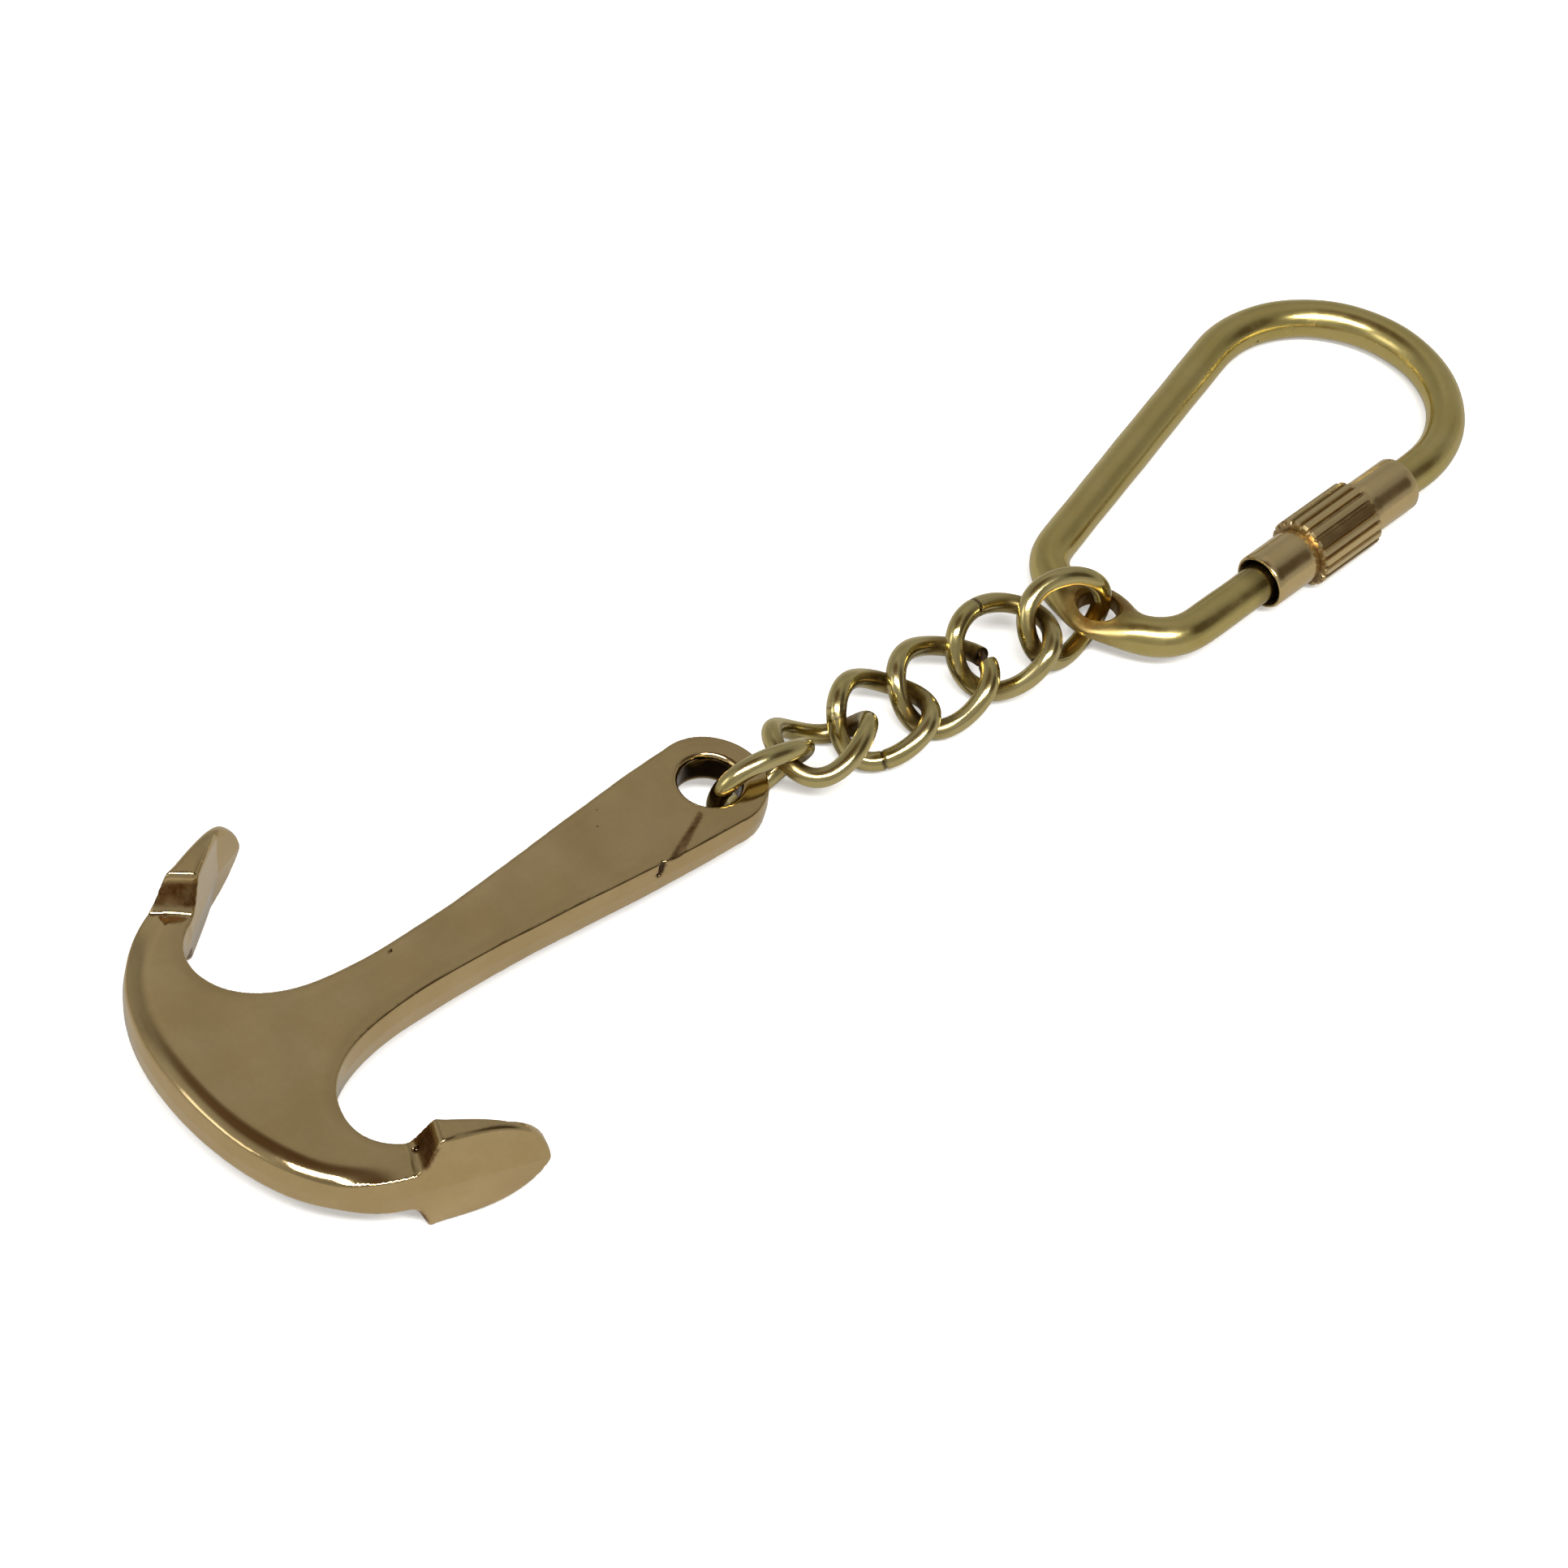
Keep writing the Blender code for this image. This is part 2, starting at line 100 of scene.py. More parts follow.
ROD_RADIUS = 1.5
LOOP_TOP_RADIUS = 9.65
LOOP_HALF_ANGLE = math.radians(7.1)
LOOP_BASE_X = -30.3
LOOP_CORNER_RADIUS = 4.2
EYE_WIDTH = 5.2
EYE_THICKNESS = 1.7
EYE_HOLE_RADIUS = 1.5
EYE_LENGTH = 4.2
LOOP_HEADING = math.radians(9.3)
LOOP_RISE = math.radians(1.27)
LOOP_LEAN = math.radians(3.2)

SLEEVE_LENGTH = 16.2
COLLAR_RADIUS = 2.17
GRIP_RADIUS = 2.75
GRIP_START = 4.6
GRIP_END = 11.2
SLEEVE_BORE_RADIUS = 1.83
SLEEVE_TOP_X = -3.5
SLEEVE_TOP_OVERLAP = 3.0
ROD_END_GAP = 2.4


# ---------- Small tools ----------
def smooth_step(low, high, value):
    share = np.clip((value - low) / (high - low), 0.0, 1.0)
    return share * share * (3.0 - 2.0 * share)


def smooth_min(a, b, blend):
    share = np.clip(0.5 + 0.5 * (b - a) / blend, 0.0, 1.0)
    return b * (1 - share) + a * share - blend * share * (1 - share)


def smooth_max(a, b, blend):
    return -smooth_min(-a, -b, blend)


def round_max(a, b, radius):
    """Intersection of two fields whose shared edge is rounded to the radius."""
    inner = np.minimum(np.maximum(a + radius, b + radius), 0.0)
    outer = np.hypot(np.maximum(a + radius, 0.0), np.maximum(b + radius, 0.0))
    return inner + outer - radius


def normalized(vectors):
    length = np.linalg.norm(vectors, axis=-1, keepdims=True)
    return vectors / np.maximum(length, 1e-12)


def new_mesh_object(name, points_mm, faces, normals=None):
    """Make a mesh object from points in mm in the row frame."""
    mesh = bpy.data.meshes.new(name)
    faces = [tuple(face) for face in faces] if isinstance(faces, list) else faces.tolist()
    mesh.from_pydata((np.asarray(points_mm) * MM).tolist(), [], faces)
    mesh.update()
    mesh.shade_smooth()
    if normals is not None:
        mesh.normals_split_custom_set_from_vertices(np.asarray(normals).tolist())
    item = bpy.data.objects.new(name, mesh)
    bpy.context.scene.collection.objects.link(item)
    return item


def set_attribute(item, name, values):
    attribute = item.data.attributes.new(name, "FLOAT", "POINT")
    attribute.data.foreach_set("value", np.asarray(values, np.float32))


def node_centre(node):
    low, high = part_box(node)
    return (np.array(low) + np.array(high)) / 2 / MM


def centre_on_node(points, node):
    """Return the shift that puts the points' box centre on the CAD node's."""
    return node_centre(node) - (points.min(0) + points.max(0)) / 2


def adopt(item, node, material):
    """Let a piece stand for a CAD node and ride on the body of the same name."""
    item.data.materials.append(material)
    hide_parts(node)
    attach(item, node)


def ring_band(first, second, sides):
    """Quads between two rings of vertices that start at these numbers."""
    return [(first + side, first + (side + 1) % sides, second + (side + 1) % sides, second + side)
            for side in range(sides)]


def bezier(start, pull_start, pull_end, end, spacing):
    """Points along a cubic Bezier curve without its last point, about spacing apart."""
    corners = np.array((start, pull_start, pull_end, end), float)
    count = max(2, int(np.linalg.norm(corners[3] - corners[0]) * 1.1 / spacing))
    t = (np.arange(count) / count)[:, None]
    return ((1 - t) ** 3 * corners[0] + 3 * t * (1 - t) ** 2 * corners[1]
            + 3 * t * t * (1 - t) * corners[2] + t ** 3 * corners[3])


# ---------- The anchor, as a signed field that is turned into a mesh ----------
PALM_ALONG = np.array((math.cos(PALM_ANGLE), math.sin(PALM_ANGLE)))
PALM_INWARD = np.array((math.sin(PALM_ANGLE), -math.cos(PALM_ANGLE)))
OUTLINE_SPACING = 0.035
COARSE_STEP = 12
POINTS_AT_A_TIME = 20000
# Where the palm's inner face starts, from the palm's root, and how far short of its end the tip is cut.
PALM_INNER_START = 0.63
PALM_TIP_TRIM = 0.02


def palm_thickness(distance):
    return max(PALM_ROOT_THICKNESS - PALM_THINNING * distance, PALM_TIP_THICKNESS)


def straight(start, end, spacing):
    start, end = np.array(start, float), np.array(end, float)
    count = max(2, int(np.linalg.norm(end - start) / spacing))
    t = (np.arange(count) / count)[:, None]
    return start + t * (end - start)


def anchor_outline():
    """Closed outline seen from above, and a mask of the points on the crown's outer curve."""
    space = OUTLINE_SPACING
    turn = math.atan2(SHANK_START[1], SHANK_START[0])
    angles = np.linspace(0.0, turn, int(HEAD_RADIUS * turn / space), endpoint=False)
    head = HEAD_RADIUS * np.stack((np.cos(angles), np.sin(angles)), 1)
    root = np.array(ARM_END_OUTER)
    tip = PALM_LENGTH - PALM_TIP_TRIM
    inner_root = root + PALM_ALONG * PALM_INNER_START + PALM_INWARD * palm_thickness(PALM_INNER_START)
    thin = (PALM_ROOT_THICKNESS - PALM_TIP_THICKNESS) / PALM_THINNING
    inner_thin = root + PALM_ALONG * thin + PALM_INWARD * PALM_TIP_THICKNESS
    inner_tip = root + PALM_ALONG * tip + PALM_INWARD * PALM_TIP_THICKNESS
    outer_tip = root + PALM_ALONG * tip
    half = [
        head,
        bezier(SHANK_START, (-10.0, 3.95), (-18.0, 2.3), SHANK_NECK, space),
        bezier(SHANK_NECK, (-33.6, 2.3), (-37.9, 3.2), THROAT, space),
        bezier(THROAT, (-40.5, 8.6), (-39.6, 10.6), inner_root, space),
        straight(inner_root, inner_thin, space),
        straight(inner_thin, inner_tip, space),
        straight(inner_tip, outer_tip, space),
        straight(outer_tip, root, space),
        bezier(ARM_END_OUTER, (-44.3, 12.4), (CROWN_X, 7.2), (CROWN_X, 0.0), space),
    ]
    on_crown = [np.full(len(part), part is half[-1]) for part in half]
    half = np.concatenate(half)
    on_crown = np.concatenate(on_crown)
    mirrored = half[1:][::-1] * (1, -1)
    outline = np.concatenate((half, [(CROWN_X, 0.0)], mirrored))
    crown = np.concatenate((on_crown, [True], on_crown[1:][::-1]))
    # Leave out a few points of the round head, so that the coarse outline divides the fine one evenly.
    surplus = len(outline) % COARSE_STEP
    keep = np.ones(len(outline), bool)
    keep[np.linspace(5, 5 + 3 * surplus, surplus).astype(int)] = False
    return outline[keep], crown[keep]


OUTLINE, OUTLINE_CROWN = anchor_outline()
OUTLINE_NEXT = np.roll(OUTLINE, -1, axis=0)


def segment_distance(points, starts, ends):
    """Squared distance from each point to its own row of segments, its side, and the nearest one."""
    along = ends - starts
    offset = points[:, None, :] - starts
    length = np.maximum((along ** 2).sum(-1), 1e-12)
    share = np.clip((offset * along).sum(-1) / length, 0.0, 1.0)
    miss = offset - share[..., None] * along
    squared = (miss ** 2).sum(-1)
    best = squared.argmin(1)
    rows = np.arange(len(points))
    cross = along[rows, best, 0] * offset[rows, best, 1] - along[rows, best, 1] * offset[rows, best, 0]
    return squared[rows, best], np.where(cross > 0, -1.0, 1.0), best


def outline_distance(points):
    """Signed distance in the plane to the outline, negative inside, and whether the crown is nearest."""
    coarse = OUTLINE[::COARSE_STEP]
    reach = np.arange(-COARSE_STEP, COARSE_STEP + 1)
    distance = np.empty(len(points))
    crown = np.empty(len(points), bool)
    for low in range(0, len(points), POINTS_AT_A_TIME):
        high = low + POINTS_AT_A_TIME
        part = points[low:high]
        gap = ((part[:, None, 0] - coarse[:, 0]) ** 2
               + (part[:, None, 1] - coarse[:, 1]) ** 2)
        nearest = (gap.argmin(1)[:, None] * COARSE_STEP + reach) % len(OUTLINE)
        squared, side, best = segment_distance(part, OUTLINE[nearest], OUTLINE_NEXT[nearest])
        distance[low:high] = side * np.sqrt(squared)
        crown[low:high] = OUTLINE_CROWN[nearest[np.arange(len(part)), best]]
    return distance, crown


def plate_half(x):
    return HEAD_HALF + (-x / -CROWN_X) * (CROWN_HALF - HEAD_HALF)


def palm_coordinates(x, y):
    """Distance along the palm from its root, and distance inward from its outer face."""
    dx = x - ARM_END_OUTER[0]
    dy = np.abs(y) - ARM_END_OUTER[1]
    return (dx * PALM_ALONG[0] + dy * PALM_ALONG[1], dx * PALM_INWARD[0] + dy * PALM_INWARD[1])


# The filed walls at the palms' feet: how far they slant back per mm across, and where they start.
LEFT_WALL = (0.62, -0.25)
RIGHT_WALL = (0.13, 0.05)
WALL_SLOPE = 2.3
WALL_FULL_WIDTH = 3.2
WALL_FOOT_BLEND = 1.05
WALL_TOP_BLEND = 0.45
PALM_REACH_ACROSS = 4.4
PALM_REACH_BACK = -2.0
PALM_TOP_EXTRA = 0.08

# The rolled edge of the crown: depth, width, how suddenly it falls, and where it fades at the palms.
ROLL_DEPTH = 0.72
ROLL_WIDTH = 1.75
ROLL_POWER = 2.3
ROLL_FADE = (10.6, 14.8)
FAR_FROM_EDGE = 9.0
# The softer fall towards the shank's and arms' sides.
SIDE_DEPTH = 0.10
SIDE_WIDTH = 1.3
SIDE_POWER = 2.5

# How the cast sides lean and how round the edges are.
SIDE_OFFSET = 0.08
SIDE_LEAN = 0.075
TOP_STEEPNESS = 0.82
EDGE_RADIUS = 0.13
PALM_EDGE_EXTRA = 0.3
HOLE_RIM_RADIUS = 0.42
GROOVE_EDGE_BLEND = 0.05
PIT_EDGE_BLEND = 0.04

# The filed groove as a start, an end, and the radius at each; and the casting pits.
GROOVE = ((-2.7, -1.95, 1.66), (-7.7, -4.25, 1.66), 0.26, 0.5)
GROOVE_LIFT = 0.75
PITS = (
    # centre, radius
    ((-7.95, -3.80, 1.15), 0.27),
    ((-8.02, -3.79, 0.80), 0.24),
    ((-7.85, -3.78, 1.46), 0.22),
    ((-8.2, -3.77, 0.52), 0.2),
    ((-28.32, 1.59, 1.84), 0.10),
    ((-37.6, 10.35, 1.75), 0.22),
    ((-37.25, 10.75, 1.35), 0.25),
    ((-38.0, -12.4, 2.2), 0.24),
    ((-35.5, -6.4, 1.97), 0.05),
)


# Height of each polishing wave, how fast it runs along and across, and where it starts.
POLISH_WAVES = ((0.035, 0.42, 0.30, 0.8), (0.018, 0.95, -0.55, 2.0))


def hand_polish(x, y):
    """Slow waves that polishing by hand leaves on a flat."""
    return sum(height * np.sin(along * x + over * y + start) for height, along, over, start in POLISH_WAVES)


def half_height(x, y, outline_gap, crown):
    """Half height of the casting above a point: the plate, its rolled crown, and the palms."""
    flat = plate_half(x) + hand_polish(x, y)
    edge = np.where(crown, np.maximum(-outline_gap, 0.0), FAR_FROM_EDGE)
    fade = 1.0 - smooth_step(*ROLL_FADE, np.abs(y))
    flat = flat - ROLL_DEPTH * fade * np.clip(1.0 - edge / ROLL_WIDTH, 0.0, 1.0) ** ROLL_POWER
    side_fall = np.clip(1.0 - np.maximum(-outline_gap, 0.0) / SIDE_WIDTH, 0.0, 1.0) ** SIDE_POWER
    flat = flat - SIDE_DEPTH * side_fall * np.where(crown, 0.0, 1.0)
    distance, across = palm_coordinates(x, y)
    share = np.clip((distance - PALM_SHOULDER) / (PALM_LENGTH - PALM_SHOULDER), 0.0, 0.9999)
    top = PALM_HALF_HEIGHT * (1 - share ** PALM_FULLNESS) ** PALM_BLUNTNESS + PALM_TOP_EXTRA
    lean = np.where(y > 0, LEFT_WALL[0], RIGHT_WALL[0])
    start = np.where(y > 0, LEFT_WALL[1], RIGHT_WALL[1])
    wall = plate_half(x) + WALL_SLOPE * (distance - start - lean * np.clip(across, 0, WALL_FULL_WIDTH))
    palm = smooth_min(top, smooth_max(flat, wall, WALL_FOOT_BLEND), WALL_TOP_BLEND)
    on_palm = (across < PALM_REACH_ACROSS) & (distance > PALM_REACH_BACK)
    return np.where(on_palm, palm, flat)


def groove_distance(points):
    """Distance outside the filed groove, a cone that widens towards the edge of the head."""
    start, end = np.array(GROOVE[0]), np.array(GROOVE[1])
    narrow, wide = GROOVE[2:]
    along = end - start
    share = np.clip(((points - start) @ along) / (along @ along), 0.0, 1.0)
    miss = points - start - share[:, None] * along
    miss[:, 2] -= share * (wide - narrow) * GROOVE_LIFT
    return np.linalg.norm(miss, axis=1) - narrow - share * (wide - narrow)


def anchor_field(points, cached=None):
    """Signed field of the casting, negative inside; cached is the outline's distance, if known."""
    x, y, z = points[:, 0], points[:, 1], points[:, 2]
    gap, crown = cached or outline_distance(points[:, :2])
    height = half_height(x, y, gap, crown)
    drafted = gap - SIDE_OFFSET + SIDE_LEAN * np.abs(z)
    cap = (np.abs(z) - height) * TOP_STEEPNESS
    distance, across = palm_coordinates(x, y)
    on_palm = smooth_step(0.8, 2.5, distance) * (across < PALM_REACH_ACROSS)
    body = round_max(drafted, cap, EDGE_RADIUS + PALM_EDGE_EXTRA * on_palm)
    hole = HOLE_RADIUS - np.hypot(x, y)
    body = round_max(body, hole, HOLE_RIM_RADIUS)
    near = (x > -2 * HEAD_RADIUS - 0.5) & (y < 0) & (z > 0)
    if near.any():
        groove = -groove_distance(points[near])
        body[near] = smooth_max(body[near], groove, GROOVE_EDGE_BLEND)
    for centre, radius in PITS:
        near = np.abs(points - np.array(centre)).max(1) < radius * 2.5
        if near.any():
            pit = radius - np.linalg.norm(points[near] - np.array(centre), axis=1)
            body[near] = smooth_max(body[near], pit, PIT_EDGE_BLEND)
    return body


def surface_net(field, low, step):
    """Naive surface nets: one vertex per crossed cell, one quad per crossed grid edge."""
    inside = field < 0
    shape = tuple(np.array(field.shape) - 1)
    crossed = np.zeros(shape, bool)
    total = np.zeros(shape + (3,))
    weight = np.zeros(shape)
    corner = [(i, j, k) for i in (0, 1) for j in (0, 1) for k in (0, 1)]

    def part(array, offset):
        return array[offset[0]:offset[0] + shape[0], offset[1]:offset[1] + shape[1],
                     offset[2]:offset[2] + shape[2]]

    for a in corner:
        for axis in range(3):
            if a[axis]:
                continue
            b = list(a)
            b[axis] = 1
            first, second = part(field, a), part(field, b)
            change = part(inside, a) != part(inside, b)
            share = np.where(change, first / np.where(change, first - second, 1.0), 0.0)
            for other in range(3):
                total[..., other] += np.where(change, a[other] + (share if other == axis else 0.0), 0.0)
            weight += change
            crossed |= change
    index = np.full(shape, -1, np.int64)
    cells = np.argwhere(crossed)
    index[crossed] = np.arange(len(cells))
    vertices = low + (cells + total[crossed] / weight[crossed][:, None]) * step
    quads = []
    for axis in range(3):
        u, v = (axis + 1) % 3, (axis + 2) % 3
        head = [slice(None)] * 3
        tail = [slice(None)] * 3
        head[axis], tail[axis] = slice(0, -1), slice(1, None)
        change = inside[tuple(head)] != inside[tuple(tail)]
        where = np.argwhere(change)
        ok = (where[:, u] > 0) & (where[:, v] > 0) & (where[:, u] < shape[u]) & (where[:, v] < shape[v])
        where = where[ok]
        ring = []
        for du, dv in ((1, 1), (0, 1), (0, 0), (1, 0)):
            cell = where.copy()
            cell[:, u] -= du
            cell[:, v] -= dv
            ring.append(index[cell[:, 0], cell[:, 1], cell[:, 2]])
        ring = np.stack(ring, 1)
        flip = ~inside[tuple(head)][where[:, 0], where[:, 1], where[:, 2]]
        ring[flip] = ring[flip][:, ::-1]
        quads.append(ring)
    return vertices, np.concatenate(quads)


def gradient(function, points, step):
    result = np.empty_like(points)
    for axis in range(3):
        shift = np.zeros(3)
        shift[axis] = step
        result[:, axis] = (function(points + shift) - function(points - shift)) / (2 * step)
    return result


GRID_STEP = 0.2
GRID_HALF_WIDTH = 17.9
LONGEST_SLIDE = 0.12


def build_anchor(material):
    """Mesh the field on a grid, then slide the vertices onto the exact surface."""
    step = GRID_STEP
    low = np.array((CROWN_X - 0.9, -GRID_HALF_WIDTH, -PALM_HALF_HEIGHT - 0.5))
    high = np.array((HEAD_RADIUS + 0.5, GRID_HALF_WIDTH, PALM_HALF_HEIGHT + 0.5))
    counts = np.ceil((high - low) / step).astype(int) + 1
    axes = [low[i] + step * np.arange(counts[i]) for i in range(3)]
    plan = np.stack(np.meshgrid(axes[0], axes[1], indexing="ij"), -1).reshape(-1, 2)
    gap, crown = outline_distance(plan)
    field = np.empty(counts)
    for k, z in enumerate(axes[2]):
        points = np.column_stack((plan, np.full(len(plan), z)))
        field[:, :, k] = anchor_field(points, (gap, crown)).reshape(counts[0], counts[1])
    vertices, quads = surface_net(field, low, step)
    for _ in range(2):
        value = anchor_field(vertices)
        slope = gradient(anchor_field, vertices, 0.03)
        move = -value[:, None] * slope / np.maximum((slope ** 2).sum(1, keepdims=True), 0.15)
        length = np.linalg.norm(move, axis=1, keepdims=True)
        vertices = vertices + move * np.minimum(1.0, LONGEST_SLIDE / np.maximum(length, 1e-9))
    normals = normalized(gradient(anchor_field, vertices, 0.06))
    grime_and_shade, marks_and_shade = anchor_grime_and_shade(vertices)
    lean = math.asin((PALM_HALF_HEIGHT - HEAD_HEIGHT) / (-ARM_END_OUTER[0] - PALM_SHOULDER))
    turn = np.array(Matrix.Rotation(lean, 3, "Y"))
    placed = vertices @ turn.T
    placed += centre_on_node(placed, "anchor")
    item = new_mesh_object("anchor_casting", placed, quads, normals @ turn.T)
    set_attribute(item, "grime_and_shade", grime_and_shade)
    set_attribute(item, "marks_and_shade", marks_and_shade)
    adopt(item, "anchor", material)


GROOVE_STAIN = 0.85
# Painted shade on the filed walls at the palms' feet, standing in for a dark reflection.
WALL_PAINTED_SHADE = 0.95


def anchor_grime_and_shade(points):
    """Brown oxide in the groove, black in the pits, and painted shade on the palms' filed walls and, in
    black, on the bore's wall.
    """
    groove = groove_distance(points)
    grime_and_shade = GROOVE_STAIN * (1 - smooth_step(0.0, 0.12, groove))
    pits_and_bore_shade = np.zeros(len(points))
    for centre, radius in PITS:
        reach = np.linalg.norm(points - np.array(centre), axis=1) - radius
        pits_and_bore_shade = np.maximum(pits_and_bore_shade, 1 - smooth_step(0.0, 0.1, reach))
    # Painted shade: the middle of the bore's wall is painted black.
    bore = np.abs(HOLE_RADIUS - np.hypot(points[:, 0], points[:, 1]))
    height = np.abs(points[:, 2])
    bore_shade = (1 - smooth_step(0.05, 0.3, bore)) * (1 - smooth_step(0.75, 1.15, height))
    pits_and_bore_shade = np.maximum(pits_and_bore_shade, bore_shade)
    # Painted shade on the filed walls at the palms' feet.
    distance, across = palm_coordinates(points[:, 0], points[:, 1])
    left = points[:, 1] > 0
    start = np.where(left, LEFT_WALL[1] + LEFT_WALL[0] * across, RIGHT_WALL[1] + RIGHT_WALL[0] * across)
    up_wall = (height - CROWN_HALF + 0.05) / WALL_SLOPE
    near_wall = 1 - smooth_step(0.12, 0.4, np.abs(distance - start - up_wall))
    band = smooth_step(2.15, 2.5, height) * (1 - smooth_step(3.9, 4.3, height))
    wall = near_wall * band * (across > -0.1) * (across < PALM_REACH_ACROSS)
    return np.maximum(grime_and_shade, WALL_PAINTED_SHADE * wall), pits_and_bore_shade


# ---------- Swept wire and rod ----------
def sweep(path, wide, thick, sides, closed, up):
    """Sweep a round or flattened section along a path; returns points, faces and the angles round it."""
    if closed:
        along = np.roll(path, -1, 0) - np.roll(path, 1, 0)
    else:
        along = np.gradient(path, axis=0)
    along = normalized(along)
    in_plane = normalized(np.cross(up, along))
    across = np.cross(along, in_plane)
    angle = 2 * np.pi * np.arange(sides) / sides
    points = (path[:, None, :]
              + in_plane[:, None, :] * (wide[:, None] * np.cos(angle))[..., None]
              + across[:, None, :] * (thick[:, None] * np.sin(angle))[..., None])
    count = len(path)
    faces = []
    for ring in range(count if closed else count - 1):
        faces += ring_band(ring * sides, (ring + 1) % count * sides, sides)
    return points, faces, angle


def link_centreline(name, angle):
    half_length, half_width, twist = LINKS[name][:3]
    return np.stack((half_length * np.cos(angle), half_width * np.sin(angle),
                     -twist * np.sin(2 * angle)), -1)


def link_turn(name):
    heading, dip, roll = (math.radians(value) for value in LINKS[name][3:6])
    return np.array(Euler((roll, dip, heading), "XYZ").to_matrix())


def link_shift(name):
    """Place of a link's centre: its CAD node's box is symmetric about it."""
    angle = np.linspace(0, 2 * np.pi, 721)
    path = link_centreline(name, angle) @ link_turn(name).T
    return node_centre(name) - (path.min(0) + path.max(0)) / 2


def world_centreline(name, count=240):
    angle = np.linspace(0, 2 * np.pi, count, endpoint=False)
    return link_centreline(name, angle) @ link_turn(name).T + link_shift(name)


# Grime and painted shade where wires hang close: full and none at these distances outside the other wire's
# radius.
GRIME_AND_SHADE_FULL = 0.3
GRIME_AND_SHADE_NONE = 1.9


def contact_grime_and_shade(points, others):
    """How dark a point gets, part grime and part painted shade: most where another wire hangs close to it.
    """
    nearest = np.full(len(points), 99.0)
    for path in others:
        gap = np.sqrt(((points[:, None] - path) ** 2).sum(-1)).min(1)
        nearest = np.minimum(nearest, gap)
    return 1 - smooth_step(WIRE_RADIUS + GRIME_AND_SHADE_FULL, WIRE_RADIUS + GRIME_AND_SHADE_NONE, nearest)


LINK_STEPS = 220
LINK_SIDES = 28
# How uneven the drawn wire is: height and waves per turn.
WIRE_UNEVEN = ((0.012, 3), (0.008, 7))
# The parting line of a closed butt joint: its depth and width, the width of its stain, how far its two
# ends stand out of line, and how fast they come back into line.
PARTING_DEPTH = 0.09
PARTING_WIDTH = 0.07
PARTING_STAIN_WIDTH = 0.10
PARTING_STEP = 0.03
PARTING_FADE = 0.5
# The flat that the bending jaws leave on the inside at both ends of a link.
JAW_FLAT = 0.03
# The file marks on one link: how closely they follow one another, and how many degrees they reach to
# each side, in full and at all.
FILE_MARKS = 62.0
FILE_MARKS_REACH = (9, 13)


def build_link(name, neighbours, material):
    """Sweep one link's wire, close it at its butt joint or leave it sprung open, and stain it, with painted
    shade where other wires hang close.
    """
    steps, sides = LINK_STEPS, LINK_SIDES
    joint = math.radians(LINKS[name][6])
    opened = name == OPEN_LINK
    opening = math.radians(OPEN_JOINT_DEG) if opened else 0.0
    if opened:
        share = np.linspace(0.0, 1.0, steps)
    else:
        share = np.arange(steps) / steps
    angle = joint + opening / 2 + share * (2 * np.pi - opening)
    path = link_centreline(name, angle)
    radius = np.full(steps, WIRE_RADIUS)
    seed = sum(ord(letter) for letter in name)
    phase = np.random.default_rng(seed).uniform(0, 2 * np.pi, 6)
    for start, (height, waves) in zip(phase, WIRE_UNEVEN):
        radius += height * np.sin(waves * angle + start)
    from_joint = np.minimum(share, 1 - share) * 2 * np.pi * LINKS[name][0]
    if not opened:
        radius -= PARTING_DEPTH * np.exp(-(from_joint / PARTING_WIDTH) ** 2)
        sideways = np.where(share < 0.5, 1, -1) * np.exp(-from_joint / PARTING_FADE) * PARTING_STEP
        path = path + np.outer(sideways, LEVEL)
    flat = JAW_FLAT * np.exp(-((np.abs(np.cos(angle)) - 1) / 0.06) ** 2)
    points, faces, around = sweep(path, radius - flat, radius, sides, not opened, LEVEL)
    if opened:
        points, faces = close_cut_ends(points, faces, path, sides)
    else:
        points = points.reshape(-1, 3)
    placed = points @ link_turn(name).T + link_shift(name)
    item = new_mesh_object(name + "_wire", placed, faces)
    item.data.set_sharp_from_angle(angle=math.radians(40))
    if opened:
        marks_and_shade = cut_mask(placed, steps, sides)
    else:
        marks_and_shade = np.repeat(np.exp(-(from_joint / PARTING_STAIN_WIDTH) ** 2), sides)
    if name == FILED_LINK:
        turn = np.repeat(angle, sides) + 0.05 * np.tile(np.cos(around), steps)
        marks = np.clip(np.sin(turn * FILE_MARKS) * 3.0 - 1.6, 0, 1)
        reach = np.abs((np.degrees(turn) % 360) - FILED_AT_DEG)
        marks_and_shade = np.maximum(marks_and_shade, 0.6 * marks * (1 - smooth_step(*FILE_MARKS_REACH, reach)))
    # Grime with painted shade where the neighbouring links hang close.
    set_attribute(item, "grime_and_shade", contact_grime_and_shade(placed, neighbours))
    set_attribute(item, "marks_and_shade", marks_and_shade)
    adopt(item, name, material)


# The sheared ends: their slant, how far they stand back, their bulge as (share of the radius, push) per
# ring, and the push at the middle.
CUT_LEAN = 0.16
CUT_BACK = 0.05
CUT_RINGS = ((0.82, 0.07), (0.55, 0.12), (0.25, 0.15))
CUT_TIP = 0.11


